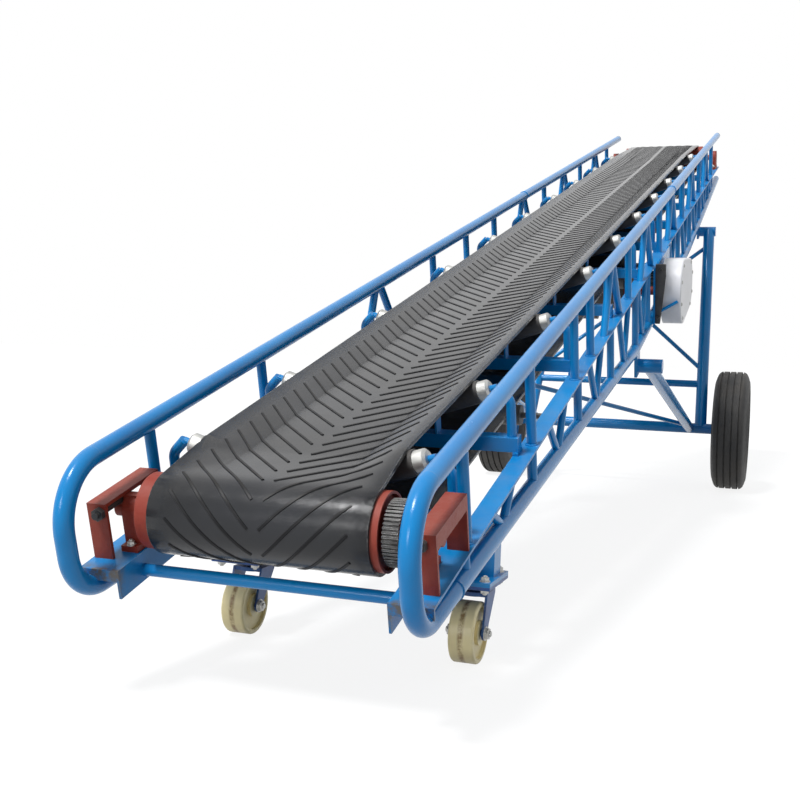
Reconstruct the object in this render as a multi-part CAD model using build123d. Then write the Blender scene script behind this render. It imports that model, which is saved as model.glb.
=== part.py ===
from build123d import *
import math
import os

# Mobile belt conveyor, in millimetres: +X right, +Y from tail to head, +Z up, origin on the floor.
# Most pieces are drawn in the slope frame: x across, s along the belt from the tail drum's axis,
# n square to the belt. PLACE carries that frame to where it stands.

# Slope frame
SLOPE_DEG = 16.0
TAIL_Z = 383.0

# Belt and drums
BELT_W = 500.0
BELT_T = 8.0
DRUM_R = 84.0
DRUM_OVER = 35.0
DRUM_SHAFT_D = 40.0
DRUM_RIM_T = 6.0
DRUM_RECESS = 12.0
HEAD_S = 6853.0
TROUGH_FLAT_W = 280.0
TROUGH_DEG = 18.0
TROUGH_DROP = 12.0

# Side frames
RAIL_D = 44.0
RAIL_OUT = 90.0
RAIL_N = 146.0
RAIL_END_S = 6988.0
NOSE_S = -198.0
NOSE_TOP_R = 130.0
NOSE_BOTTOM_R = 100.0
NOSE_BOTTOM_N = -131.0
# Bottom chord knees: s, n
CHORD_KNEES = ((2608.0, -346.0), (4808.0, -321.0), (RAIL_END_S, -176.0))
ANGLE_W = 50.0
ANGLE_TOP_N = -82.0
ANGLE_T = 6.0
ANGLE_DROP = 30.0
ANGLE_FRONT_S = -141.0
ANGLE_END_S = 6968.0
TAIL_PLATE_END_S = 150.0
TAIL_PLATE_DROP = 65.0
TAIL_LIP_DROP = 26.0
PLUG_LEN = 14.0

# Web between the rails: places along the belt
UPRIGHT_D = 27.0
BRACE_D = 22.0
VEE_HALF = 140.0
LOWER_UPRIGHTS = (127.0, 759.0, 1391.0, 2023.0, 2655.0, 3040.0, 3660.0, 4292.0, 4924.0, 5556.0, 6188.0)
LOWER_VEES = (443.0, 1075.0, 1707.0, 2339.0, 2848.0, 3976.0, 4608.0, 5240.0, 5872.0, 6440.0)
A_HALF = 185.0
A_TOP_GAP = 16.0
UPRIGHTS_RIGHT = (150.0, 760.0, 1347.0, 1616.0, 2456.0, 3450.0, 4480.0, 5500.0, 6450.0)
A_BRACES_RIGHT = (2047.0, 2966.0, 3950.0, 5000.0, 5980.0)
UPRIGHTS_LEFT = (150.0, 722.0, 2260.0, 2735.0, 3212.0, 4315.0, 5400.0, 6450.0)
A_BRACES_LEFT = (1640.0, 3810.0, 4870.0, 5960.0)
SEAT_GAP = 0.3

# Idler sets
IDLER_S = (185.0, 690.0, 1410.0, 2150.0, 2830.0, 3470.0, 4110.0, 4750.0, 5390.0, 6070.0)
ROLLER_D = 60.0
ROLLER_SHAFT_D = 17.0
CENTRE_ROLLER_SHORT = 20.0
SIDE_ROLLER_FROM = 8.0
SIDE_ROLLER_PAST = 8.0
ROLLER_CAP_LEN = 30.0
ROLLER_CAP_D = 52.0
ROLLER_CAP_BEVEL = 6.0
CROSSBAR_SIDE = 38.0
CROSSBAR_FOOT_T = 8.0
CROSSBAR_FOOT_W = 50.0
CROSSBAR_SEAT = 14.0
CRADLE_T = 5.0
STAND_D = 25.0
STAND_IN = 20.0
STAND_BEND_R = 34.0
STAND_REACH = 5.0
RETURN_S = (1100.0, 2400.0, 4400.0, 5750.0)
RETURN_OVER = 15.0
RETURN_PLATE_T = 6.0
RETURN_PLATE_W = 44.0

# Tail end
TAKEUP_IN = 30.0
TAKEUP_W = 47.0
TAKEUP_S = (-92.0, 118.0)
TAKEUP_TOP_N = 46.0
TAKEUP_T = 8.0
TAKEUP_LIP = 35.0
BEARING_OFF = 6.0
BEARING_W = 42.0
BEARING_R = 33.0
BEARING_FOOT_T = 14.0
BEARING_FOOT_HALF = 52.0
SCREW_D = 16.0
SCREW_N = 25.0
SCREW_TAIL = 8.0
SCREW_NUT_T = 12.0
SCREW_NUT_W = 26.0
SCREW_LUG_S = (-14.0, 8.0)
SCREW_LUG_N = (13.0, 36.0)
RING_W = 34.0
RING_GAP = 4.0
RING_R = 70.0
TOOTH_COUNT = 48
TOOTH_DEPTH = 5.0
FRONT_TUBE_D = 27.0
FRONT_TUBE_SN = (-45.0, -124.0)

# Head end
HEAD_BLOCK_W = 38.0
HEAD_BLOCK_R = 48.0
HEAD_FOOT_HALF = 80.0
HEAD_FOOT_T = 18.0

# Drive
DRIVE_SN = (3238.0, -223.0)
DRIVE_R = 80.0
BEND_R = 45.0
BEND_OFF = 150.0
PLATE_T = 9.0
PLATE_MARGIN = 170.0
PLATE_PAST_MOTOR = 110.0
MOTOR_SN = (3512.0, -244.0)
MOTOR_R = 60.0
MOTOR_LEN = 240.0
MOTOR_FIN_COUNT = 20
MOTOR_FIN_T = 4.0
MOTOR_FIN_H = 9.0
MOTOR_BELL_LEN = 26.0
MOTOR_COWL_LEN = 54.0
MOTOR_COWL_BEVEL = 10.0
TERMINAL_BOX = (84.0, 64.0, 40.0)
REDUCER_W = 22.0
REDUCER_IN = 45.0
GUARD_W = 90.0
GUARD_FRONT_R = 150.0
GUARD_REAR_R = 122.0
GUARD_ROUND = 8.0
STAY_D = 14.0
STAY_OFF = 9.0
# Guard stay: n at the plate, n at the guard, how far out it reaches along the guard's depth
STAY_N = (-300.0, -236.0)
STAY_REACH = 0.85

# Wheels and their support, set from the floor
WHEEL_OUT = 310.0
WHEEL_Y = 4578.0
TYRE_R = 340.0
TYRE_W = 186.0
TYRE_SECTION = 150.0
TYRE_SHOULDER = 22.0
# Shares of the section height and of the shoulder that the tyre's arcs pass through
TYRE_BELLY = 0.5
TYRE_ROUND = 0.3
TYRE_BEAD_IN = 28.0
GROOVE_X = (-54.0, -18.0, 18.0, 54.0)
GROOVE_W = 9.0
GROOVE_DEPTH = 10.0
RIM_LIP = 12.0
RIM_WELL = 26.0
RIM_TAPER = 20.0
DISC_X = 8.0
DISC_T = 10.0
DISC_DISH = 12.0
DISC_DISH_R = 90.0
DISC_LAP = 2.0
HUB_R = 50.0
HUB_WALL = 6.0
HUB_X = (-58.0, 52.0)
AXLE_D = 60.0
AXLE_SHORT = 102.0
SPINDLE_D = 40.0
SPINDLE_PAST = 58.0
PIN_GAP = 0.4
POST_D = 67.0
POST_FOOT_OUT = 137.0
# Heads under the bottom chord: x from the rail, s, drop below the chord's centre line
POST_HEAD = (84.0, 5367.0, 26.0)
STRUT_HEAD = (56.0, 2671.0, 78.0)
STRUT_D = 57.0
STRUT_FOOT_OUT = 73.0
TIE_SHARE = 0.21
TIE_D = 42.0
SUPPORT_BRACE_D = 24.0
# Crossed rods between the posts, and the strut's rod: shares of the height where they end
POST_BRACE_SHARES = (0.27, 0.93)
STRUT_BRACE_SHARES = (0.06, 0.88)
PIVOT_D = 60.0
# Cross tubes at the heads: x from the rail
PIVOT_OUT = (13.0, 114.0)
SLEEVE_OUT = (24.0, 125.0)
HANGER_T = 12.0
HANGER_HALF = 45.0
HANGER_BELOW = 40.0

# Casters, set from the floor
CASTER_IN = 72.0
CASTER_Y = 512.0
CASTER_TRAIL = 45.0
CASTER_R = 75.0
CASTER_W = 62.0
CASTER_ROUND = 6.0
CASTER_HUB_R = 30.0
CASTER_DISH = 8.0
FORK_GAP = 5.0
FORK_T = 6.0
FORK_CROWN_Z = (160.0, 170.0)
FORK_HEAD_HALF = 36.0
FORK_TOE_HALF = 17.0
FORK_PIN_D = 16.0
FORK_PIN_OUT = 10.0
RACE_Z = (176.0, 192.0)
RACE_D = 84.0
KINGPIN_D = 30.0
CASTER_PLATE_W = 132.0
CASTER_PLATE_Y = (402.0, 576.0)
CASTER_PLATE_Z = (192.0, 200.0)
PEDESTAL_T = 10.0
PEDESTAL_LAP = 4.0
PEDESTAL_SIDE = 60.0
PEDESTAL_TOP_Z = 350.0

# Derived widths
DRUM_LEN = BELT_W + 2 * DRUM_OVER
TAIL_IN_X = DRUM_LEN / 2 + RING_W / 2
RAIL_X = DRUM_LEN / 2 + RAIL_OUT
ANGLE_OUT_X = RAIL_X + RAIL_D / 2
ANGLE_IN_X = ANGLE_OUT_X - ANGLE_W
CROSSBAR_END_X = ANGLE_IN_X + CROSSBAR_SEAT
STAND_X = CROSSBAR_END_X - STAND_IN
CENTRE_ROLLER_LEN = TROUGH_FLAT_W - CENTRE_ROLLER_SHORT
CRADLE_X = CENTRE_ROLLER_LEN / 2 + 2 * CRADLE_T
RETURN_ROLLER_LEN = BELT_W + 2 * RETURN_OVER
RETURN_PLATE_X = (ANGLE_IN_X + ANGLE_T, ANGLE_IN_X + ANGLE_T + RETURN_PLATE_T)
TAKEUP_X = (RAIL_X - TAKEUP_IN, RAIL_X - TAKEUP_IN + TAKEUP_W)
SCREW_X = TAKEUP_X[0] + SCREW_D
BEARING_X = (TAIL_IN_X + BEARING_OFF, TAIL_IN_X + BEARING_OFF + BEARING_W)
RING_X = (BEARING_X[0] - RING_GAP - RING_W, BEARING_X[0] - RING_GAP)
SHAFT_END_X = SCREW_X + SCREW_D
REDUCER_X = (ANGLE_OUT_X + PLATE_T, ANGLE_OUT_X + PLATE_T + REDUCER_W)
GUARD_X = (REDUCER_X[1], REDUCER_X[1] + GUARD_W)
WHEEL_X = RAIL_X + WHEEL_OUT
RIM_R = TYRE_R - TYRE_SECTION
RIM_W = TYRE_W - 2 * TYRE_BEAD_IN
AXLE_END_X = WHEEL_X - AXLE_SHORT
SPINDLE_END_X = WHEEL_X + SPINDLE_PAST
POST_FOOT = (RAIL_X + POST_FOOT_OUT, WHEEL_Y, TYRE_R)
STRUT_FOOT = (RAIL_X + STRUT_FOOT_OUT, WHEEL_Y, TYRE_R)
PIVOT_X = (RAIL_X + PIVOT_OUT[0], RAIL_X + PIVOT_OUT[1])
SLEEVE_X = (RAIL_X + SLEEVE_OUT[0], RAIL_X + SLEEVE_OUT[1])
CASTER_X = RAIL_X - CASTER_IN

# Derived places
COS = math.cos(math.radians(SLOPE_DEG))
SIN = math.sin(math.radians(SLOPE_DEG))
BELT_R = DRUM_R + BELT_T
TROUGH_BASE_N = DRUM_R - TROUGH_DROP
TROUGH_WING = (BELT_W - TROUGH_FLAT_W) / 2
SIDE_ROLLER_TO = TROUGH_WING + SIDE_ROLLER_PAST
WING = Vector(math.cos(math.radians(TROUGH_DEG)), math.sin(math.radians(TROUGH_DEG)))
NOSE_CENTRE = Vector(NOSE_S + NOSE_TOP_R, RAIL_N - NOSE_TOP_R)
BEND_CENTRE = Vector(NOSE_S + NOSE_BOTTOM_R, NOSE_BOTTOM_N + NOSE_BOTTOM_R)
TO_KNEE = Vector(*CHORD_KNEES[0]) - BEND_CENTRE
CHORD_DIP = math.atan2(TO_KNEE.Y, TO_KNEE.X) + math.asin(NOSE_BOTTOM_R / TO_KNEE.length)
CHORD_END = Vector(*CHORD_KNEES[-1])
CHORD_RISE = (CHORD_END - Vector(*CHORD_KNEES[-2])).normalized()
# The origin is under the middle of the length, from the nose's front to the lower chord's end
CHORD_TIP = CHORD_END + Vector(CHORD_RISE.Y, -CHORD_RISE.X) * (RAIL_D / 2)
FRONT_Y = NOSE_CENTRE.X * COS - NOSE_CENTRE.Y * SIN - NOSE_TOP_R - RAIL_D / 2
BACK_Y = CHORD_TIP.X * COS - CHORD_TIP.Y * SIN
TAIL_Y = -(FRONT_Y + BACK_Y) / 2
PLACE = Plane(origin=(0, TAIL_Y, TAIL_Z), x_dir=(1, 0, 0), z_dir=(0, -SIN, COS)).location


def to_floor(x, s, n):
    """A slope-frame point as (x, y from the tail axis, z)."""
    return Vector(x, s * COS - n * SIN, TAIL_Z + s * SIN + n * COS)


def bar(start, end, diameter):
    """Round bar between two points."""
    start = Vector(start)
    end = Vector(end)
    return Solid.make_cylinder(diameter / 2, (end - start).length, Plane(start, z_dir=end - start))


def block(x, s, n):
    """Box from three (low, high) pairs."""
    origin = Plane((x[0], s[0], n[0]))
    return Solid.make_box(x[1] - x[0], s[1] - s[0], n[1] - n[0], origin)


def across(x0, x1, s, n, radius):
    """Cylinder along x."""
    return bar((x0, s, n), (x1, s, n), 2 * radius)


def around(middle, half):
    """A (low, high) pair about a middle."""
    return (middle - half, middle + half)


def mirrored(shape):
    """The same piece on the left side."""
    return mirror(shape, about=Plane.YZ)


def both(shape):
    """Right and left copies of a piece."""
    return [shape, mirrored(shape)]


def solids_of(shapes):
    """Flat list of the solids in a list of shapes."""
    found = []
    for shape in shapes:
        found.extend(shape.solids())
    return found


def save(name, shapes, placed=True):
    """Write one node; its shapes are moved from the slope frame unless they stand on the floor already."""
    solids = solids_of(shapes)
    if placed:
        solids = [PLACE * solid for solid in solids]
    else:
        solids = [Pos(0, TAIL_Y, 0) * solid for solid in solids]
    body = solids[0] if len(solids) == 1 else Compound(children=solids)
    export_step(body, f"parts/{name}.step")


# Side frames: rails, nose loops and bottom chords

def side_plane(x):
    """Plane at x whose axes are s and n."""
    return Plane((x, 0, 0), x_dir=(0, 1, 0), z_dir=(1, 0, 0))


def chord_start():
    """Where the nose loop's lower bend ends."""
    turn = math.radians(270) + CHORD_DIP
    reach = Vector(math.cos(turn), math.sin(turn)) * NOSE_BOTTOM_R
    return (BEND_CENTRE.X + reach.X, BEND_CENTRE.Y + reach.Y)


def top_rail():
    return bar((RAIL_X, NOSE_CENTRE.X, RAIL_N), (RAIL_X, RAIL_END_S, RAIL_N), RAIL_D)


def nose_loop(diameter):
    """Rail bent down and back under the belt at the tail."""
    top_centre = (NOSE_CENTRE.X, NOSE_CENTRE.Y)
    low_centre = (BEND_CENTRE.X, BEND_CENTRE.Y)
    top_bend = CenterArc(top_centre, NOSE_TOP_R, 90, 90)
    front = Line((NOSE_S, top_centre[1]), (NOSE_S, low_centre[1]))
    low_bend = CenterArc(low_centre, NOSE_BOTTOM_R, 180, 90 + math.degrees(CHORD_DIP))
    path = side_plane(RAIL_X) * Wire([top_bend, front, low_bend])
    section = Plane(path @ 0, z_dir=path % 0) * Circle(diameter / 2)
    return sweep(section, path=path)


def chord_points():
    return [chord_start()] + list(CHORD_KNEES)


def chord_tube(diameter):
    """Bottom chord, a tube with a knee at each change of slope."""
    points = [Vector(RAIL_X, s, n) for s, n in chord_points()]
    tube = bar(points[0], points[1], diameter)
    for start, end in zip(points[1:-1], points[2:]):
        tube = tube + Pos(start) * Sphere(diameter / 2) + bar(start, end, diameter)
    return tube


def chord_n(s):
    """Height of the bottom chord's centre line."""
    points = chord_points()
    for (s0, n0), (s1, n1) in zip(points[:-1], points[1:]):
        if s <= s1:
            return n0 + (n1 - n0) * (s - s0) / (s1 - s0)
    return points[-1][1]


def side_angle():
    """Angle bar under the web, widened by a flanged plate at the tail."""
    span = (ANGLE_FRONT_S, ANGLE_END_S)
    under_n = ANGLE_TOP_N - ANGLE_T
    top = block((ANGLE_IN_X, ANGLE_OUT_X), span, (under_n, ANGLE_TOP_N))
    leg_s = (TAIL_PLATE_END_S, ANGLE_END_S)
    leg = block((ANGLE_IN_X, ANGLE_IN_X + ANGLE_T), leg_s, (ANGLE_TOP_N - ANGLE_DROP, ANGLE_TOP_N))
    tail = (ANGLE_FRONT_S, TAIL_PLATE_END_S)
    plate = block((TAIL_IN_X, ANGLE_IN_X), tail, (under_n, ANGLE_TOP_N))
    flange = block((TAIL_IN_X, TAIL_IN_X + ANGLE_T), tail, (ANGLE_TOP_N - TAIL_PLATE_DROP, ANGLE_TOP_N))
    front = (ANGLE_FRONT_S, ANGLE_FRONT_S + ANGLE_T)
    lip = block((TAIL_IN_X, ANGLE_OUT_X), front, (ANGLE_TOP_N - TAIL_LIP_DROP, ANGLE_TOP_N))
    pipe = nose_loop(RAIL_D + 2 * SEAT_GAP) + chord_tube(RAIL_D + 2 * SEAT_GAP)
    return top + leg + plate + flange + lip - pipe


def upper_web(uprights, braces):
    """Uprights and A-braces from the angle bar to the rail."""
    rail = bar((RAIL_X, NOSE_S, RAIL_N), (RAIL_X, RAIL_END_S, RAIL_N), RAIL_D + 2 * SEAT_GAP)
    below = block((0, 2 * RAIL_X), (NOSE_S, RAIL_END_S), (ANGLE_TOP_N - RAIL_N, ANGLE_TOP_N))
    pieces = []
    for s in uprights:
        pieces.append(bar((RAIL_X, s, ANGLE_TOP_N), (RAIL_X, s, RAIL_N), UPRIGHT_D) - rail)
    for s in braces:
        brace = None
        for side in (-1, 1):
            top = (RAIL_X, s + side * A_TOP_GAP, RAIL_N)
            foot = (RAIL_X, s + side * A_HALF, ANGLE_TOP_N - BRACE_D)
            leg = bar(top, foot, UPRIGHT_D)
            brace = leg if brace is None else brace + leg
        pieces.append(brace - rail - below)
    return pieces


def lower_web():
    """Uprights and V-braces from the angle bar to the bottom chord."""
    chord = chord_tube(RAIL_D + 2 * SEAT_GAP)
    seat_n = ANGLE_TOP_N - ANGLE_T
    above = block((0, 2 * RAIL_X), (NOSE_S, RAIL_END_S), (seat_n, RAIL_N))
    pieces = []
    for s in LOWER_UPRIGHTS:
        pieces.append(bar((RAIL_X, s, chord_n(s)), (RAIL_X, s, seat_n), UPRIGHT_D) - chord)
    for s in LOWER_VEES:
        foot = (RAIL_X, s, chord_n(s))
        heads = [(RAIL_X, s + side * VEE_HALF, seat_n + BRACE_D) for side in (-1, 1)]
        vee = bar(foot, heads[0], BRACE_D) + bar(foot, heads[1], BRACE_D)
        pieces.append(vee - chord - above)
    return pieces


def rail_plug():
    """Dark plug in the rail's head end."""
    return bar((RAIL_X, RAIL_END_S, RAIL_N), (RAIL_X, RAIL_END_S + PLUG_LEN, RAIL_N), RAIL_D)


# Belt: trough above, flat wrap round both drums and the drive drum below

def trough_section(s, flat):
    """Cross-section of the carrying run, flat at the drums and troughed on the idlers."""
    half = TROUGH_FLAT_W / 2
    if flat:
        low = [(half, DRUM_R), (half + TROUGH_WING, DRUM_R)]
        high = [(half, BELT_R), (half + TROUGH_WING, BELT_R)]
    else:
        edge = Vector(half, TROUGH_BASE_N) + WING * TROUGH_WING
        square = Vector(-WING.Y, WING.X) * BELT_T
        fold = BELT_T * math.tan(math.radians(TROUGH_DEG) / 2)
        low = [(half, TROUGH_BASE_N), (edge.X, edge.Y)]
        high = [(half - fold, TROUGH_BASE_N + BELT_T), (edge.X + square.X, edge.Y + square.Y)]
    right = low + [high[1], high[0]]
    outline = [(x, s, n) for x, n in right] + [(-x, s, n) for x, n in reversed(right)]
    return Face(Wire.make_polygon([Vector(p) for p in outline], close=True))


def carrying_run():
    sections = [
        trough_section(0, True),
        trough_section(IDLER_S[0], False),
        trough_section(IDLER_S[-1], False),
        trough_section(HEAD_S, True),
    ]
    return Solid.make_loft([face.outer_wire() for face in sections], ruled=True)


def dip_angle():
    """Steepness of the belt between a bend roller and the drive drum, in degrees."""
    drop = -BELT_R - BEND_R - DRIVE_SN[1]
    reach = math.hypot(BEND_OFF, drop)
    crossing = math.asin((DRIVE_R + BELT_T + BEND_R) / reach)
    return math.degrees(crossing + math.atan2(drop, BEND_OFF))


def wrap_path(out):
    """Edges of the belt's wraps and return run, at a distance from its inner face."""
    steep = dip_angle()
    drive_s, drive_n = DRIVE_SN
    bend_n = -BELT_R - BEND_R
    bend_r = BEND_R + BELT_T - out
    flat_n = -DRUM_R - out
    tail = CenterArc((0, 0), DRUM_R + out, 90, 180)
    bend_in = CenterArc((drive_s - BEND_OFF, bend_n), bend_r, 90, -steep)
    drive = CenterArc((drive_s, drive_n), DRIVE_R + out, 270 - steep, 2 * steep)
    bend_out = CenterArc((drive_s + BEND_OFF, bend_n), bend_r, 90 + steep, -steep)
    head = CenterArc((HEAD_S, 0), DRUM_R + out, 270, 180)
    to_drive = Line((0, flat_n), (drive_s - BEND_OFF, flat_n))
    down = Line(bend_in @ 1, drive @ 0)
    up = Line(drive @ 1, bend_out @ 0)
    to_head = Line((drive_s + BEND_OFF, flat_n), (HEAD_S, flat_n))
    return [tail, to_drive, bend_in, down, drive, up, bend_out, to_head, head]


def wraps():
    """Both drum wraps and the return run, as one band."""
    inner = wrap_path(0)
    outer = wrap_path(BELT_T)
    ends = [Line((0, DRUM_R), (0, BELT_R)), Line((HEAD_S, DRUM_R), (HEAD_S, BELT_R))]
    profile = make_face(inner + outer + ends)
    side = Plane((-BELT_W / 2, 0, 0), x_dir=(0, 1, 0), z_dir=(1, 0, 0))
    return extrude(side * profile, amount=BELT_W, dir=(1, 0, 0))


def belt():
    return carrying_run() + wraps()


# Drums and rollers

def drum(s, n, radius, ends, shaft_x):
    """Drum with recessed end discs on a through shaft."""
    shell = across(*ends, s, n, radius - SEAT_GAP)
    shell = shell - across(ends[0], ends[0] + DRUM_RECESS, s, n, radius - DRUM_RIM_T)
    shell = shell - across(ends[1] - DRUM_RECESS, ends[1], s, n, radius - DRUM_RIM_T)
    return shell + across(-shaft_x, shaft_x, s, n, DRUM_SHAFT_D / 2)


def toothed_ring():
    """Ring of square teeth beside the tail drum's right end."""
    x0, x1 = RING_X
    root = RING_R - TOOTH_DEPTH
    pitch = 2 * math.pi / TOOTH_COUNT
    corners = []
    for i in range(TOOTH_COUNT):
        for radius, share in ((root, 0.0), (root, 0.5), (RING_R, 0.5), (RING_R, 1.0)):
            turn = pitch * (i + share)
            corners.append((radius * math.cos(turn), radius * math.sin(turn)))
    outline = make_face(Polyline(*corners, close=True))
    ring = extrude(side_plane(x0) * outline, amount=x1 - x0, dir=(1, 0, 0))
    return ring - across(x0, x1, 0, 0, DRUM_SHAFT_D / 2 + SEAT_GAP)


def centre_roller(s):
    half = CENTRE_ROLLER_LEN / 2
    n = TROUGH_BASE_N - ROLLER_D / 2 - SEAT_GAP
    shaft = across(-CRADLE_X, CRADLE_X, s, n, ROLLER_SHAFT_D / 2)
    return across(-half, half, s, n, ROLLER_D / 2) + shaft


def side_axis(s, along):
    """Point on a right side roller's axis, measured out from the trough's fold."""
    drop = Vector(WING.Y, -WING.X) * (ROLLER_D / 2 + SEAT_GAP)
    point = Vector(TROUGH_FLAT_W / 2, TROUGH_BASE_N) + WING * along + drop
    return Vector(point.X, s, point.Y)


def cap_end():
    """Place on the side roller's axis where its end cap stops."""
    return SIDE_ROLLER_TO + ROLLER_CAP_LEN


def side_roller(s):
    shell = bar(side_axis(s, SIDE_ROLLER_FROM), side_axis(s, SIDE_ROLLER_TO), ROLLER_D)
    return shell + bar(side_axis(s, 0), side_axis(s, cap_end()), ROLLER_SHAFT_D)


def roller_cap(s):
    """Pale end cap on the side roller's shaft, under the belt's edge."""
    cap = bar(side_axis(s, SIDE_ROLLER_TO), side_axis(s, cap_end()), ROLLER_CAP_D)
    rims = cap.edges().filter_by(GeomType.CIRCLE).sort_by(Axis.X)
    cap = chamfer(rims[-1], ROLLER_CAP_BEVEL)
    return cap - bar(side_axis(s, 0), side_axis(s, cap_end()), ROLLER_SHAFT_D + 2 * SEAT_GAP)


def return_roller(s):
    n = -BELT_R - ROLLER_D / 2 - SEAT_GAP
    half = RETURN_ROLLER_LEN / 2
    shaft = across(-RETURN_PLATE_X[0], RETURN_PLATE_X[0], s, n, ROLLER_SHAFT_D / 2)
    return across(-half, half, s, n, ROLLER_D / 2) + shaft


def return_plate(s):
    """Plate under the angle bar that carries a return roller's shaft."""
    n = -BELT_R - ROLLER_D / 2 - SEAT_GAP
    return block(RETURN_PLATE_X, around(s, RETURN_PLATE_W / 2), (n - RETURN_PLATE_W / 2, ANGLE_TOP_N - ANGLE_T))


def idler_stand(s):
    """Bent tube from the crossbar's end up to the side roller's cap."""
    top = side_axis(s, cap_end() + STAND_D / 2 + STAND_REACH)
    bar_top = ANGLE_TOP_N + CROSSBAR_FOOT_T + CROSSBAR_SIDE
    points = [(STAND_X, bar_top), (STAND_X, top.Z - STAND_BEND_R), (top.X, top.Z)]
    face = Plane((0, s, 0), x_dir=(1, 0, 0), z_dir=(0, -1, 0))
    path = face * FilletPolyline(*points, radius=STAND_BEND_R)
    section = Plane(path @ 0, z_dir=path % 0) * Circle(STAND_D / 2)
    tube = sweep(section, path=path)
    return tube + bar(side_axis(s, cap_end()), top, ROLLER_SHAFT_D)


def idler_crossbar(s):
    """Crossbar on its two feet, with the cradles between its rollers."""
    foot_top = ANGLE_TOP_N + CROSSBAR_FOOT_T
    bar_top = foot_top + CROSSBAR_SIDE
    wide = around(s, CROSSBAR_SIDE / 2)
    frame = block((-CROSSBAR_END_X, CROSSBAR_END_X), wide, (foot_top, bar_top))
    foot = block((ANGLE_IN_X, CROSSBAR_END_X), around(s, CROSSBAR_FOOT_W / 2), (ANGLE_TOP_N, foot_top))
    shaft_n = TROUGH_BASE_N - ROLLER_D / 2 - SEAT_GAP
    cradle = block((CRADLE_X, CRADLE_X + CRADLE_T), wide, (bar_top, shaft_n + ROLLER_SHAFT_D))
    cradle = cradle - bar(side_axis(s, 0), side_axis(s, SIDE_ROLLER_FROM), ROLLER_SHAFT_D)
    for piece in both(foot) + both(cradle):
        frame = frame + piece
    return frame


# Tail end: take-up frames, bearings, screws and the front tube

def takeup_frame():
    """Inverted U of angle iron over the tail bearing's screw."""
    s0, s1 = TAKEUP_S
    top = block(TAKEUP_X, TAKEUP_S, (TAKEUP_TOP_N - TAKEUP_T, TAKEUP_TOP_N))
    outer_x = (TAKEUP_X[1] - TAKEUP_T, TAKEUP_X[1])
    outer = block(outer_x, TAKEUP_S, (TAKEUP_TOP_N - TAKEUP_LIP, TAKEUP_TOP_N))
    front = block(TAKEUP_X, (s0, s0 + TAKEUP_T), (ANGLE_TOP_N, TAKEUP_TOP_N))
    rear = block(TAKEUP_X, (s1 - TAKEUP_T, s1), (ANGLE_TOP_N, TAKEUP_TOP_N))
    frame = top + outer + front + rear
    return frame - bar((SCREW_X, s0, SCREW_N), (SCREW_X, s0 + TAKEUP_T, SCREW_N), SCREW_D + 2 * SEAT_GAP)


def tail_bearing():
    """Pillow block on the tail plate, with the lug that the screw pushes."""
    foot_n = (ANGLE_TOP_N, ANGLE_TOP_N + BEARING_FOOT_T)
    foot = block(BEARING_X, around(0, BEARING_FOOT_HALF), foot_n)
    body = block(BEARING_X, around(0, BEARING_R), (ANGLE_TOP_N, 0))
    cap = across(*BEARING_X, 0, 0, BEARING_R)
    lug = block((BEARING_X[0], SCREW_X + SCREW_D / 2), SCREW_LUG_S, SCREW_LUG_N)
    return foot + body + cap + lug - across(0, 2 * RAIL_X, 0, 0, DRUM_SHAFT_D / 2)


def hexagon(start, end, width):
    """Nut or bolt head along s, by its width across flats."""
    length = (Vector(end) - Vector(start)).length
    outline = RegularPolygon(width / 2, 6, major_radius=False)
    return extrude(Plane(start, z_dir=Vector(end) - Vector(start)) * outline, amount=length)


def takeup_screw():
    """Tension screw through the front leg, with its nut."""
    front = TAKEUP_S[0]
    nut_s = front - SCREW_NUT_T
    screw = bar((SCREW_X, nut_s - SCREW_TAIL, SCREW_N), (SCREW_X, SCREW_LUG_S[0], SCREW_N), SCREW_D)
    return screw + hexagon((SCREW_X, nut_s, SCREW_N), (SCREW_X, front, SCREW_N), SCREW_NUT_W)


def front_tube():
    s, n = FRONT_TUBE_SN
    return across(-TAIL_IN_X, TAIL_IN_X, s, n, FRONT_TUBE_D / 2)


def head_bearing():
    """Pillow block for the head drum."""
    x = (ANGLE_IN_X, ANGLE_IN_X + HEAD_BLOCK_W)
    foot = block(x, around(HEAD_S, HEAD_FOOT_HALF), (ANGLE_TOP_N, ANGLE_TOP_N + HEAD_FOOT_T))
    body = block(x, around(HEAD_S, HEAD_BLOCK_R), (ANGLE_TOP_N, 0))
    cap = across(*x, HEAD_S, 0, HEAD_BLOCK_R)
    return foot + body + cap - across(0, 2 * RAIL_X, HEAD_S, 0, DRUM_SHAFT_D / 2)


# Drive: plates, drum, bend rollers, motor, reducer and guard

def loop_outline(front, rear):
    """Outline round two circles, each (s, n, radius), in the side plane."""
    (s0, n0, r0), (s1, n1, r1) = front, rear
    reach = math.hypot(s1 - s0, n1 - n0)
    aim = math.degrees(math.atan2(n1 - n0, s1 - s0))
    spread = math.degrees(math.acos((r0 - r1) / reach))
    front_arc = CenterArc((s0, n0), r0, aim + spread, 360 - 2 * spread)
    rear_arc = CenterArc((s1, n1), r1, aim - spread, 2 * spread)
    sides = [Line(front_arc @ 1, rear_arc @ 0), Line(rear_arc @ 1, front_arc @ 0)]
    return make_face([front_arc, rear_arc] + sides)


def loop_box(x, front, rear):
    """Housing with that outline, between two x places."""
    return extrude(side_plane(x[0]) * loop_outline(front, rear), amount=x[1] - x[0], dir=(1, 0, 0))


def drive_circles(front_r, rear_r):
    return (*DRIVE_SN, front_r), (*MOTOR_SN, rear_r)


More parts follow.
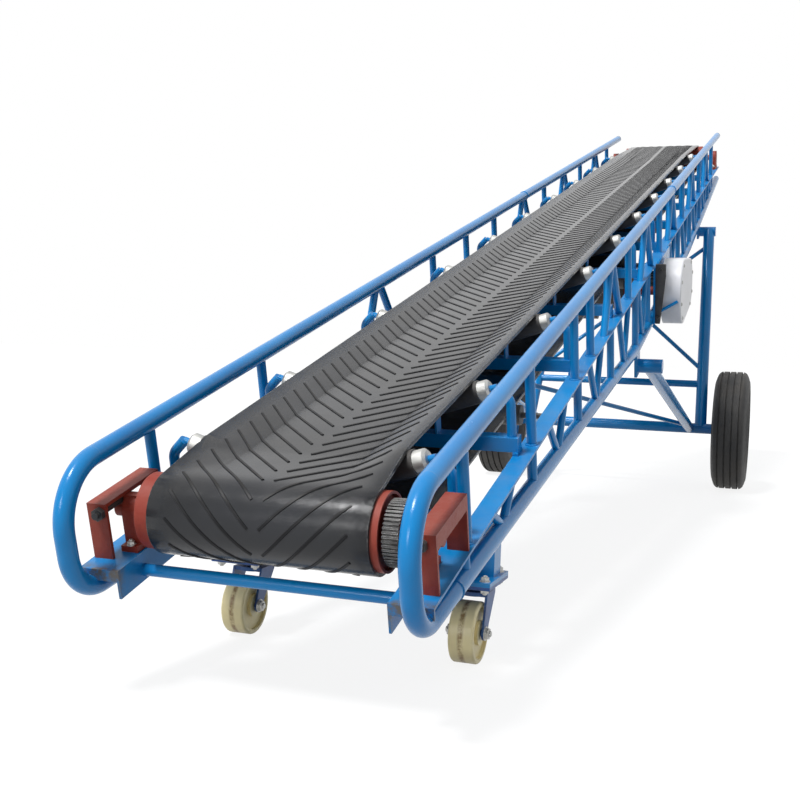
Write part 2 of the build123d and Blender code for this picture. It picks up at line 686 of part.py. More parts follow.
def drive_plate(end_s):
    """Side plate on the angle bar and the bottom chord, bored for the drum's shaft."""
    s0 = DRIVE_SN[0] - PLATE_MARGIN
    corners = [(s0, ANGLE_TOP_N), (end_s, ANGLE_TOP_N), (end_s, chord_n(end_s)), (s0, chord_n(s0))]
    outline = make_face(Polyline(*corners, close=True))
    plate = extrude(side_plane(ANGLE_OUT_X) * outline, amount=PLATE_T, dir=(1, 0, 0))
    return plate - across(0, 2 * RAIL_X, *DRIVE_SN, DRUM_SHAFT_D / 2 + SEAT_GAP)


def bend_roller(side):
    s = DRIVE_SN[0] + side * BEND_OFF
    n = -BELT_R - BEND_R
    half = RETURN_ROLLER_LEN / 2
    shell = across(-half, half, s, n, BEND_R - SEAT_GAP)
    return shell + across(-ANGLE_OUT_X, ANGLE_OUT_X, s, n, ROLLER_SHAFT_D / 2)


def motor():
    """Finned motor on the inner face of the right drive plate, with its end bell, cowl and terminal box."""
    s, n = MOTOR_SN
    core_r = MOTOR_R - MOTOR_FIN_H
    bell_x = ANGLE_OUT_X - MOTOR_BELL_LEN
    back_x = bell_x - MOTOR_LEN
    shape = across(bell_x, ANGLE_OUT_X, s, n, MOTOR_R) + across(back_x, bell_x, s, n, core_r)
    fin = block((back_x, bell_x), around(s, MOTOR_FIN_T / 2), (n, n + MOTOR_R - MOTOR_FIN_T / 2))
    for i in range(MOTOR_FIN_COUNT):
        shape = shape + fin.rotate(Axis((0, s, n), (1, 0, 0)), 360 / MOTOR_FIN_COUNT * i)
    cowl = across(back_x - MOTOR_COWL_LEN, back_x, s, n, MOTOR_R)
    rims = cowl.edges().filter_by(GeomType.CIRCLE).sort_by(Axis.X)
    cowl = chamfer(rims[0], MOTOR_COWL_BEVEL)
    length, width, height = TERMINAL_BOX
    box_x = around(bell_x - length, length / 2)
    box = block(box_x, around(s, width / 2), (n + core_r - MOTOR_FIN_H, n + core_r + height))
    return shape + cowl + box


def guard():
    """Rounded cover over the drive's pulleys."""
    shell = loop_box(GUARD_X, *drive_circles(GUARD_FRONT_R, GUARD_REAR_R))
    rims = shell.faces().filter_by(Axis.X).sort_by(Axis.X)[-1].edges()
    return fillet(rims, GUARD_ROUND)


def guard_stay():
    """Rod from the drive plate out across the guard's front."""
    s = DRIVE_SN[0] - GUARD_FRONT_R - STAY_OFF
    plate_x = ANGLE_OUT_X + PLATE_T
    out_x = GUARD_X[0] + STAY_REACH * GUARD_W
    rod = bar((ANGLE_OUT_X, s, STAY_N[0]), (out_x, s, STAY_N[1]), STAY_D)
    return rod - block((0, plate_x), (0, HEAD_S), (-RAIL_X * 2, 0))


# Wheel support, on the floor frame

def between(start, end, share):
    return Vector(start) + (Vector(end) - Vector(start)) * share


def head_point(row):
    """Floor point of a post's or strut's head: x from the rail, s, drop below the bottom chord."""
    out, s, drop = row
    return to_floor(RAIL_X + out, s, chord_n(s) - drop)


def axle_beam():
    """Tube axle with a spindle at each end."""
    beam = bar((-AXLE_END_X, WHEEL_Y, TYRE_R), (AXLE_END_X, WHEEL_Y, TYRE_R), AXLE_D)
    return beam + bar((-SPINDLE_END_X, WHEEL_Y, TYRE_R), (SPINDLE_END_X, WHEEL_Y, TYRE_R), SPINDLE_D)


def axle_cutter():
    return bar((-AXLE_END_X, WHEEL_Y, TYRE_R), (AXLE_END_X, WHEEL_Y, TYRE_R), AXLE_D + 2 * SEAT_GAP)


def cross_tube(head, x, diameter):
    """Tube along x through a head."""
    return bar((x[0], head.Y, head.Z), (x[1], head.Y, head.Z), diameter)


def leg(foot, head, diameter):
    """Post or strut, coped to the axle and to the cross tube on its head."""
    tube = bar(foot, head, diameter)
    return tube - axle_cutter() - cross_tube(head, (0, 2 * RAIL_X), PIVOT_D + 2 * SEAT_GAP)


def leg_cutters(foot, head, diameter):
    tube = bar(foot, head, diameter + 2 * SEAT_GAP)
    return tube + mirrored(tube)


def post_tie():
    """Cross tube between the posts."""
    head = head_point(POST_HEAD)
    x, y, z = between(POST_FOOT, head, TIE_SHARE)
    return bar((-x, y, z), (x, y, z), TIE_D) - leg_cutters(POST_FOOT, head, POST_D)


def post_braces():
    """Crossed rods between the posts, one in front of the other."""
    head = head_point(POST_HEAD)
    low = between(POST_FOOT, head, POST_BRACE_SHARES[0])
    high = between(POST_FOOT, head, POST_BRACE_SHARES[1])
    away = (head - Vector(POST_FOOT)).cross(Vector(1, 0, 0)).normalized()
    posts = leg_cutters(POST_FOOT, head, POST_D)
    pieces = []
    for side in (-1, 1):
        shift = away * (side * (SUPPORT_BRACE_D / 2 + SEAT_GAP))
        start = Vector(-side * low.X, low.Y, low.Z) + shift
        end = Vector(side * high.X, high.Y, high.Z) + shift
        pieces.append(bar(start, end, SUPPORT_BRACE_D) - posts)
    return pieces


def strut_brace():
    """Rod from the right strut's foot to the left strut's head."""
    head = head_point(STRUT_HEAD)
    low = between(STRUT_FOOT, head, STRUT_BRACE_SHARES[0])
    high = between(STRUT_FOOT, head, STRUT_BRACE_SHARES[1])
    rod = bar(low, (-high.X, high.Y, high.Z), SUPPORT_BRACE_D)
    return rod - leg_cutters(STRUT_FOOT, head, STRUT_D)


def hanger(row, x):
    """Plate from the bottom chord down to a cross tube's end, in the slope frame."""
    out, s, drop = row
    n = chord_n(s) - drop
    plate = block((x - HANGER_T, x), around(s, HANGER_HALF), (n - HANGER_BELOW, chord_n(s)))
    return plate - chord_tube(RAIL_D + 2 * SEAT_GAP)


# Road wheels, round their own axle

def wheel_ring(edges):
    """Ring about the wheel's axle from edges drawn as (x, radius)."""
    section = Plane((WHEEL_X, WHEEL_Y, TYRE_R), x_dir=(1, 0, 0), z_dir=(0, -1, 0))
    axle = Axis((WHEEL_X, WHEEL_Y, TYRE_R), (1, 0, 0))
    return revolve(section * make_face(edges), axle, 360)


def ring_of(points):
    return wheel_ring(Polyline(*points, close=True).edges())


def tyre():
    """Round-shouldered tyre with grooves round the tread."""
    half = TYRE_W / 2
    seat = RIM_W / 2
    bead_r = RIM_R + SEAT_GAP
    belly_r = RIM_R + TYRE_SECTION * TYRE_BELLY
    edge_r = TYRE_R - TYRE_SHOULDER
    edge_x = half - TYRE_SHOULDER / 2
    crown_x = half - 2 * TYRE_SHOULDER
    right_wall = ThreePointArc((seat, bead_r), (half, belly_r), (edge_x, edge_r))
    right_edge = ThreePointArc(
        (edge_x, edge_r), (half - TYRE_SHOULDER, TYRE_R - TYRE_SHOULDER * TYRE_ROUND), (crown_x, TYRE_R)
    )
    left_wall = ThreePointArc((-seat, bead_r), (-half, belly_r), (-edge_x, edge_r))
    left_edge = ThreePointArc(
        (-edge_x, edge_r), (-half + TYRE_SHOULDER, TYRE_R - TYRE_SHOULDER * TYRE_ROUND), (-crown_x, TYRE_R)
    )
    crown = Line((-crown_x, TYRE_R), (crown_x, TYRE_R))
    base = Line((-seat, bead_r), (seat, bead_r))
    shape = wheel_ring([base, right_wall, right_edge, crown, left_edge, left_wall])
    for middle in GROOVE_X:
        x0, x1 = around(middle, GROOVE_W / 2)
        low_r, high_r = around(TYRE_R, GROOVE_DEPTH)
        shape = shape - ring_of([(x0, low_r), (x1, low_r), (x1, high_r), (x0, high_r)])
    return shape


def rim():
    """Rim, dished disc and hub."""
    half = RIM_W / 2
    bore = SPINDLE_D / 2 + PIN_GAP
    well_r = RIM_R - RIM_WELL
    shell = [
        (-half, RIM_R), (half, RIM_R), (half, RIM_R - RIM_LIP), (half - RIM_TAPER, well_r),
        (-half + RIM_TAPER, well_r), (-half, RIM_R - RIM_LIP),
    ]
    face = DISC_X + DISC_T
    foot_r = well_r + DISC_LAP
    disc = [
        (DISC_X, foot_r), (face, foot_r), (face + DISC_DISH, DISC_DISH_R), (face + HUB_WALL, HUB_R),
        (HUB_X[1], HUB_R), (HUB_X[1], bore), (HUB_X[0], bore), (HUB_X[0], HUB_R - HUB_WALL),
        (DISC_X + HUB_WALL, HUB_R - HUB_WALL), (DISC_X + DISC_DISH, DISC_DISH_R),
    ]
    return ring_of(shell) + ring_of(disc)


# Casters

def caster_column(z, diameter):
    """Upright cylinder on the caster's swivel axis."""
    return bar((CASTER_X, CASTER_Y, z[0]), (CASTER_X, CASTER_Y, z[1]), diameter)


def caster_plate(z):
    return block(around(CASTER_X, CASTER_PLATE_W / 2), CASTER_PLATE_Y, z)


def caster_head():
    """Bolted plate with its race, fixed under the pedestal."""
    race = caster_column(RACE_Z, RACE_D) - caster_column(RACE_Z, KINGPIN_D + 2 * PIN_GAP)
    return caster_plate(CASTER_PLATE_Z) + race


def caster_fork():
    """Crown, two tapered arms and the wheel's pin."""
    wheel_y = CASTER_Y - CASTER_TRAIL
    inner = CASTER_W / 2 + FORK_GAP
    crown = caster_column(FORK_CROWN_Z, RACE_D)
    shape = crown + caster_column((FORK_CROWN_Z[1], RACE_Z[1] - PIN_GAP), KINGPIN_D)
    crown_low, crown_top = FORK_CROWN_Z
    head = around(CASTER_Y, FORK_HEAD_HALF)
    shape = shape + block(around(CASTER_X, inner + FORK_T), head, FORK_CROWN_Z)
    toe = [
        (head[0], crown_top), (head[1], crown_top), (head[1], crown_low),
        (wheel_y + FORK_TOE_HALF, CASTER_R), (wheel_y - FORK_TOE_HALF, CASTER_R),
    ]
    outline = make_face(Polyline(*toe, close=True)) + Pos(wheel_y, CASTER_R) * Circle(FORK_TOE_HALF)
    for x in (CASTER_X - inner - FORK_T, CASTER_X + inner):
        shape = shape + extrude(side_plane(x) * outline, amount=FORK_T, dir=(1, 0, 0))
    pin_x = around(CASTER_X, inner + FORK_T + FORK_PIN_OUT)
    return shape + across(*pin_x, wheel_y, CASTER_R, FORK_PIN_D / 2)


def caster_wheel():
    """Moulded wheel, dished between its rim and its hub."""
    wheel_y = CASTER_Y - CASTER_TRAIL
    x = around(CASTER_X, CASTER_W / 2)
    wheel = across(*x, wheel_y, CASTER_R, CASTER_R)
    wheel = fillet(wheel.edges().filter_by(GeomType.CIRCLE), CASTER_ROUND)
    for low, high in ((x[0], x[0] + CASTER_DISH), (x[1] - CASTER_DISH, x[1])):
        dish = across(low, high, wheel_y, CASTER_R, CASTER_R - 2 * CASTER_ROUND)
        wheel = wheel - (dish - across(low, high, wheel_y, CASTER_R, CASTER_HUB_R))
    return wheel - across(*x, wheel_y, CASTER_R, FORK_PIN_D / 2 + PIN_GAP)


def pedestal():
    """Square post beside the bottom chord, on a flat foot."""
    foot_z = CASTER_PLATE_Z[1]
    foot = caster_plate((foot_z, foot_z + PEDESTAL_T))
    outer_x = RAIL_X - RAIL_D / 2 + PEDESTAL_LAP
    post_y = around(CASTER_Y, PEDESTAL_SIDE / 2)
    post = block((outer_x - PEDESTAL_SIDE, outer_x), post_y, (foot_z, PEDESTAL_TOP_Z))
    stand = Plane(origin=(0, 0, TAIL_Z), x_dir=(1, 0, 0), z_dir=(0, -SIN, COS)).location
    return foot + post - stand * chord_tube(RAIL_D + 2 * SEAT_GAP)


def main():
    os.makedirs("parts", exist_ok=True)
    rail = top_rail()
    nose = nose_loop(RAIL_D)
    chord = chord_tube(RAIL_D)
    angle = side_angle()
    fork = caster_fork()
    roller = caster_wheel()
    rubber = tyre()
    disc = rim()
    sides = (
        ("right", lambda shape: shape, UPRIGHTS_RIGHT, A_BRACES_RIGHT),
        ("left", mirrored, UPRIGHTS_LEFT, A_BRACES_LEFT),
    )
    for side, turn, uprights, braces in sides:
        save(f"top_rail_{side}", [turn(rail)])
        save(f"nose_loop_{side}", [turn(nose)])
        save(f"bottom_chord_{side}", [turn(chord)])
        save(f"side_angle_{side}", [turn(angle)])
        save(f"upper_web_{side}", [turn(piece) for piece in upper_web(uprights, braces)])
        save(f"lower_web_{side}", [turn(piece) for piece in lower_web()])
        save(f"caster_fork_{side}", [turn(fork)], placed=False)
        save(f"caster_wheel_{side}", [turn(roller)], placed=False)
        save(f"tyre_{side}", [turn(rubber)], placed=False)
        save(f"rim_{side}", [turn(disc)], placed=False)
    save("rail_plugs", both(rail_plug()))
    save("belt", [belt()])
    wide = (-DRUM_LEN / 2, DRUM_LEN / 2)
    save("tail_drum", [drum(0, 0, DRUM_R, (wide[0], RING_X[0] - RING_GAP), SHAFT_END_X)])
    save("head_drum", [drum(HEAD_S, 0, DRUM_R, wide, ANGLE_IN_X + HEAD_BLOCK_W)])
    save("tail_toothed_ring", [toothed_ring()])
    save("takeup_frames", both(takeup_frame()))
    save("tail_bearings", both(tail_bearing()))
    save("takeup_screws", both(takeup_screw()))
    save("head_bearings", both(head_bearing()))
    save("front_tube", [front_tube()])
    save("idler_crossbars", [idler_crossbar(s) for s in IDLER_S])
    save("idler_stands", [piece for s in IDLER_S for piece in both(idler_stand(s))])
    save("centre_rollers", [centre_roller(s) for s in IDLER_S])
    save("side_rollers", [piece for s in IDLER_S for piece in both(side_roller(s))])
    save("roller_caps", [piece for s in IDLER_S for piece in both(roller_cap(s))])
    save("return_rollers", [return_roller(s) for s in RETURN_S])
    save("return_plates", [piece for s in RETURN_S for piece in both(return_plate(s))])
    save("drive_drum", [drum(*DRIVE_SN, DRIVE_R, wide, ANGLE_OUT_X + PLATE_T)])
    save("bend_rollers", [bend_roller(side) for side in (-1, 1)])
    right_plate = drive_plate(MOTOR_SN[0] + PLATE_PAST_MOTOR)
    left_plate = mirrored(drive_plate(DRIVE_SN[0] + PLATE_MARGIN))
    save("drive_plates", [right_plate, left_plate])
    save("drive_motor", [motor()])
    reducer_circles = drive_circles(GUARD_FRONT_R - REDUCER_IN, GUARD_REAR_R - REDUCER_IN)
    save("drive_reducer", [loop_box(REDUCER_X, *reducer_circles)])
    save("drive_guard", [guard()])
    save("guard_stay", [guard_stay()])
    post_head = head_point(POST_HEAD)
    strut_head = head_point(STRUT_HEAD)
    save("axle_beam", [axle_beam()], placed=False)
    save("rear_posts", both(leg(POST_FOOT, post_head, POST_D)), placed=False)
    save("front_struts", both(leg(STRUT_FOOT, strut_head, STRUT_D)), placed=False)
    save("post_tie", [post_tie()], placed=False)
    save("post_braces", post_braces(), placed=False)
    save("strut_brace", [strut_brace()], placed=False)
    save("post_sleeves", both(cross_tube(post_head, SLEEVE_X, PIVOT_D)), placed=False)
    save("strut_pivots", both(cross_tube(strut_head, PIVOT_X, PIVOT_D)), placed=False)
    save("post_hangers", both(hanger(POST_HEAD, SLEEVE_X[0])))
    save("strut_hangers", both(hanger(STRUT_HEAD, PIVOT_X[0])))
    save("caster_pedestals", both(pedestal()), placed=False)
    save("caster_heads", both(caster_head()), placed=False)


main()
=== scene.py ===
import math

import bmesh
import bpy
from mathutils import Matrix, Vector


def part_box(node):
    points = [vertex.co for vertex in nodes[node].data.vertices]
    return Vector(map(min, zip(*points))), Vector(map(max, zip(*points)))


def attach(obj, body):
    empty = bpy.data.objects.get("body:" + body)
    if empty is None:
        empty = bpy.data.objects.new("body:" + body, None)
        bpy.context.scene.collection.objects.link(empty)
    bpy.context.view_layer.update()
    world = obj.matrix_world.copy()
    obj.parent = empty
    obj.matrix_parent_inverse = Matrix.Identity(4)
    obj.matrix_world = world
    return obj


# Mobile belt conveyor: finishes, trim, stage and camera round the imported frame

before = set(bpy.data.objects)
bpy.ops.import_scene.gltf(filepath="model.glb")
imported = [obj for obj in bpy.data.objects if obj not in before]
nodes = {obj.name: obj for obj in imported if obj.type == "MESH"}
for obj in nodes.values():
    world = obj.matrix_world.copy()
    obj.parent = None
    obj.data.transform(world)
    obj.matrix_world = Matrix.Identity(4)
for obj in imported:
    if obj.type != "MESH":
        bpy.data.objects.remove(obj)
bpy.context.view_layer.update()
scene = bpy.context.scene

# Camera, as the photograph was taken: metres and degrees
LENS_MM = 49.22
SENSOR_MM = 36.0
CAMERA_SEES_TO = 200.0
CAMERA_FROM_DRUM = Vector((1.01347, -2.05954, 0.37216))
CAMERA_YAW = math.radians(19.74)
CAMERA_DIP = math.radians(2.74)
CAMERA_ROLL = math.radians(-1.93)

# Colours in linear light
BLUE = (0.001, 0.225, 0.560, 1)
BLUE_DEEP = (0.001, 0.145, 0.425, 1)
RED_OXIDE = (0.250, 0.030, 0.016, 1)
RED_PALE = (0.310, 0.072, 0.046, 1)
RUBBER = (0.008, 0.009, 0.011, 1)
RUBBER_GREY = (0.026, 0.028, 0.034, 1)
BELT_EDGE = (0.300, 0.300, 0.300, 1)
# Rib colour darker than the belt's rubber: painted shade for the shaded sides of the raised ribs
RIB_BLACK_PAINTED_SHADE = (0.006, 0.006, 0.007, 1)
STEEL = (0.560, 0.560, 0.540, 1)
STEEL_DULL = (0.300, 0.300, 0.290, 1)
IRON = (0.022, 0.022, 0.024, 1)
IRON_WORN = (0.120, 0.110, 0.100, 1)
TYRE_BLACK = (0.016, 0.016, 0.017, 1)
TYRE_DUSTY = (0.060, 0.057, 0.052, 1)
NYLON = (0.960, 0.840, 0.480, 1)
NYLON_SEAM = (0.300, 0.190, 0.080, 1)
NYLON_STAIN = (0.520, 0.420, 0.200, 1)
FORK_BLUE = (0.010, 0.050, 0.210, 1)
FORK_BARE = (0.160, 0.170, 0.190, 1)
GUARD_WHITE = (0.740, 0.740, 0.760, 1)
GUARD_SHADE = (0.560, 0.560, 0.570, 1)
DUST = (0.330, 0.290, 0.240, 1)
PRIMER = (0.330, 0.330, 0.320, 1)


# Shader node helpers

def add(tree, kind, **settings):
    """One node with its settings."""
    made = tree.nodes.new(kind)
    for name, value in settings.items():
        setattr(made, name, value)
    return made


def join(tree, source, target):
    """Link from one socket to another."""
    tree.links.new(source, target)


def group(name, inputs, outputs):
    """An empty node group with named sockets: name, socket type, first value."""
    tree = bpy.data.node_groups.new(name, "ShaderNodeTree")
    for label, kind, value in inputs:
        socket = tree.interface.new_socket(label, in_out="INPUT", socket_type=kind)
        socket.default_value = value
    for label, kind in outputs:
        tree.interface.new_socket(label, in_out="OUTPUT", socket_type=kind)
    return tree, add(tree, "NodeGroupInput"), add(tree, "NodeGroupOutput")


def maths(tree, operation, first, second, clamp=False):
    """Maths node; each operand is a socket or a number."""
    made = add(tree, "ShaderNodeMath", operation=operation, use_clamp=clamp)
    for socket, value in zip(made.inputs, (first, second)):
        if isinstance(value, (int, float)):
            socket.default_value = value
        else:
            join(tree, value, socket)
    return made.outputs[0]


def mixed(tree, share, first, second):
    """Colour mix; each colour is a socket or a fixed colour."""
    made = add(tree, "ShaderNodeMix", data_type="RGBA")
    join(tree, share, made.inputs["Factor"])
    for label, value in (("A", first), ("B", second)):
        socket = [s for s in made.inputs if s.name == label and s.type == "RGBA"][0]
        if isinstance(value, tuple):
            socket.default_value = value
        else:
            join(tree, value, socket)
    return [s for s in made.outputs if s.type == "RGBA"][0]


def spread(tree, value, low, high, to_low, to_high):
    """Clamped map of one range to another."""
    made = add(tree, "ShaderNodeMapRange")
    join(tree, value, made.inputs["Value"])
    for label, number in (("From Min", low), ("From Max", high), ("To Min", to_low), ("To Max", to_high)):
        made.inputs[label].default_value = number
    return made.outputs["Result"]


def cloud(tree, place, scale, detail=4.0, rough=0.55):
    """Noise at a scale; the scale is a socket or a number."""
    made = add(tree, "ShaderNodeTexNoise")
    join(tree, place, made.inputs["Vector"])
    made.inputs["Detail"].default_value = detail
    made.inputs["Roughness"].default_value = rough
    if isinstance(scale, (int, float)):
        made.inputs["Scale"].default_value = scale
    else:
        join(tree, scale, made.inputs["Scale"])
    return made.outputs["Fac"]


def place_on_piece(tree):
    """Coordinates that stay with a piece as it moves."""
    return add(tree, "ShaderNodeTexCoord").outputs["Object"]


# Effects shared by several finishes

FLOAT = "NodeSocketFloat"
COLOUR = "NodeSocketColor"


def make_mottle():
    """Slow change of shade over a surface, and of its gloss."""
    inputs = (("Colour", COLOUR, BLUE), ("Shade", COLOUR, BLUE_DEEP), ("Scale", FLOAT, 6.0),
              ("Amount", FLOAT, 0.5), ("Gloss Low", FLOAT, 0.25), ("Gloss High", FLOAT, 0.45))
    tree, came, goes = group("mottle", inputs, (("Colour", COLOUR), ("Roughness", FLOAT)))
    place = place_on_piece(tree)
    broad = cloud(tree, place, came.outputs["Scale"])
    share = maths(tree, "MULTIPLY", spread(tree, broad, 0.35, 0.68, 0, 1), came.outputs["Amount"])
    join(tree, mixed(tree, share, came.outputs["Colour"], came.outputs["Shade"]), goes.inputs["Colour"])
    fine = cloud(tree, place, maths(tree, "MULTIPLY", came.outputs["Scale"], 7.0))
    reach = maths(tree, "SUBTRACT", came.outputs["Gloss High"], came.outputs["Gloss Low"])
    rough = maths(tree, "ADD", came.outputs["Gloss Low"], maths(tree, "MULTIPLY", fine, reach))
    join(tree, rough, goes.inputs["Roughness"])
    return tree


def make_edge_wear():
    """Mask of rubbed edges and scattered chips."""
    inputs = (("Width", FLOAT, 0.002), ("Amount", FLOAT, 0.5), ("Chips", FLOAT, 0.2), ("Scale", FLOAT, 40.0))
    tree, came, goes = group("edge_wear", inputs, (("Mask", FLOAT),))
    place = place_on_piece(tree)
    rounded = add(tree, "ShaderNodeBevel", samples=4)
    join(tree, came.outputs["Width"], rounded.inputs["Radius"])
    plain = add(tree, "ShaderNodeNewGeometry")
    turn = add(tree, "ShaderNodeVectorMath", operation="DOT_PRODUCT")
    join(tree, rounded.outputs["Normal"], turn.inputs[0])
    join(tree, plain.outputs["Normal"], turn.inputs[1])
    edge = spread(tree, turn.outputs["Value"], 0.99, 0.80, 0, 1)
    breakup = spread(tree, cloud(tree, place, came.outputs["Scale"], 6.0, 0.7), 0.42, 0.58, 0, 1)
    rubbed = maths(tree, "MULTIPLY", maths(tree, "MULTIPLY", edge, breakup), came.outputs["Amount"])
    spots = cloud(tree, place, maths(tree, "MULTIPLY", came.outputs["Scale"], 0.8), 5.0, 0.75)
    chips = maths(tree, "MULTIPLY", spread(tree, spots, 0.69, 0.73, 0, 1), came.outputs["Chips"])
    join(tree, maths(tree, "MAXIMUM", rubbed, chips, True), goes.inputs["Mask"])
    return tree


def make_settled_dust():
    """Mask of dust that lies on upward faces and near the floor."""
    inputs = (("Amount", FLOAT, 0.4), ("Scale", FLOAT, 12.0), ("Floor Reach", FLOAT, 0.5))
    tree, came, goes = group("settled_dust", inputs, (("Mask", FLOAT),))
    coords = add(tree, "ShaderNodeTexCoord")
    facing = add(tree, "ShaderNodeSeparateXYZ")
    join(tree, coords.outputs["Normal"], facing.inputs[0])
    up = spread(tree, facing.outputs["Z"], 0.35, 1.0, 0, 1)
    height = add(tree, "ShaderNodeSeparateXYZ")
    join(tree, coords.outputs["Object"], height.inputs[0])
    rise = maths(tree, "DIVIDE", height.outputs["Z"], came.outputs["Floor Reach"])
    low = maths(tree, "SUBTRACT", 1.0, rise, True)
    lies = maths(tree, "MAXIMUM", up, low)
    patches = cloud(tree, coords.outputs["Object"], came.outputs["Scale"], 6.0, 0.65)
    patchy = spread(tree, patches, 0.38, 0.72, 0, 1)
    mask = maths(tree, "MULTIPLY", maths(tree, "MULTIPLY", lies, patchy), came.outputs["Amount"], True)
    join(tree, mask, goes.inputs["Mask"])
    return tree


def make_fine_skin():
    """Height of a fine uneven skin: brushed paint, cast iron or moulded rubber."""
    inputs = (("Scale", FLOAT, 300.0), ("Long Scale", FLOAT, 30.0))
    tree, came, goes = group("fine_skin", inputs, (("Height", FLOAT),))
    place = place_on_piece(tree)
    fine = cloud(tree, place, came.outputs["Scale"], 3.0)
    long = cloud(tree, place, came.outputs["Long Scale"], 2.0)
    join(tree, maths(tree, "ADD", maths(tree, "MULTIPLY", fine, 0.6), long), goes.inputs["Height"])
    return tree


MOTTLE = make_mottle()
EDGE_WEAR = make_edge_wear()
SETTLED_DUST = make_settled_dust()
FINE_SKIN = make_fine_skin()


def use(tree, shared, **values):
    """Place a shared effect with its own values; underscores stand for spaces."""
    made = add(tree, "ShaderNodeGroup", node_tree=shared)
    for label, value in values.items():
        made.inputs[label.replace("_", " ")].default_value = value
    return made


COAT_ROUGHNESS = 0.12
DUST_DULLS = 0.5


def finish(name, colour, shade, under, gloss, wear, dust, skin, metallic=0.0, coat=0.0, shine=0.5):
    """One finish: its own colours over shared mottle, wear, dust and skin.

    gloss is (scale, amount, low, high); wear (width, amount, chips, scale);
    dust (amount, scale, floor reach); skin (scale, long scale, strength, depth).
    """
    made = bpy.data.materials.new(name)
    made.use_nodes = True
    tree = made.node_tree
    shader = tree.nodes["Principled BSDF"]
    shader.inputs["Metallic"].default_value = metallic
    shader.inputs["Specular IOR Level"].default_value = shine
    shader.inputs["Coat Weight"].default_value = coat
    shader.inputs["Coat Roughness"].default_value = COAT_ROUGHNESS
    base = use(tree, MOTTLE, Colour=colour, Shade=shade, Scale=gloss[0], Amount=gloss[1],
               Gloss_Low=gloss[2], Gloss_High=gloss[3])
    worn = use(tree, EDGE_WEAR, Width=wear[0], Amount=wear[1], Chips=wear[2], Scale=wear[3])
    dusty = use(tree, SETTLED_DUST, Amount=dust[0], Scale=dust[1], Floor_Reach=dust[2])
    bared = mixed(tree, worn.outputs["Mask"], base.outputs["Colour"], under)
    covered = mixed(tree, dusty.outputs["Mask"], bared, DUST)
    join(tree, covered, shader.inputs["Base Color"])
    dull = maths(tree, "MULTIPLY", dusty.outputs["Mask"], DUST_DULLS)
    dulled = maths(tree, "ADD", base.outputs["Roughness"], dull, True)
    join(tree, dulled, shader.inputs["Roughness"])
    grain = use(tree, FINE_SKIN, Scale=skin[0], Long_Scale=skin[1])
    bump = add(tree, "ShaderNodeBump")
    bump.inputs["Strength"].default_value = skin[2]
    bump.inputs["Distance"].default_value = skin[3]
    sunk = maths(tree, "SUBTRACT", grain.outputs["Height"], worn.outputs["Mask"])
    join(tree, sunk, bump.inputs["Height"])
    join(tree, bump.outputs["Normal"], shader.inputs["Normal"])
    return made


def band_over(made, axis, centre, half, fade, colour, scale):
    """Uneven band of another colour where the place along an axis, left or right, is near a centre."""
    tree = made.node_tree
    shader = tree.nodes["Principled BSDF"]
    before = shader.inputs["Base Color"].links[0].from_socket
    place = place_on_piece(tree)
    split = add(tree, "ShaderNodeSeparateXYZ")
    join(tree, place, split.inputs[0])
    size = maths(tree, "ABSOLUTE", split.outputs[axis], 0.0)
    away = maths(tree, "ABSOLUTE", maths(tree, "SUBTRACT", size, centre), 0.0)
    near = spread(tree, away, half, half + fade, 1, 0)
    uneven = spread(tree, cloud(tree, place, scale, 6.0, 0.7), 0.36, 0.56, 0.1, 1)
    share = maths(tree, "MULTIPLY", near, uneven)
    join(tree, mixed(tree, share, before, colour), shader.inputs["Base Color"])


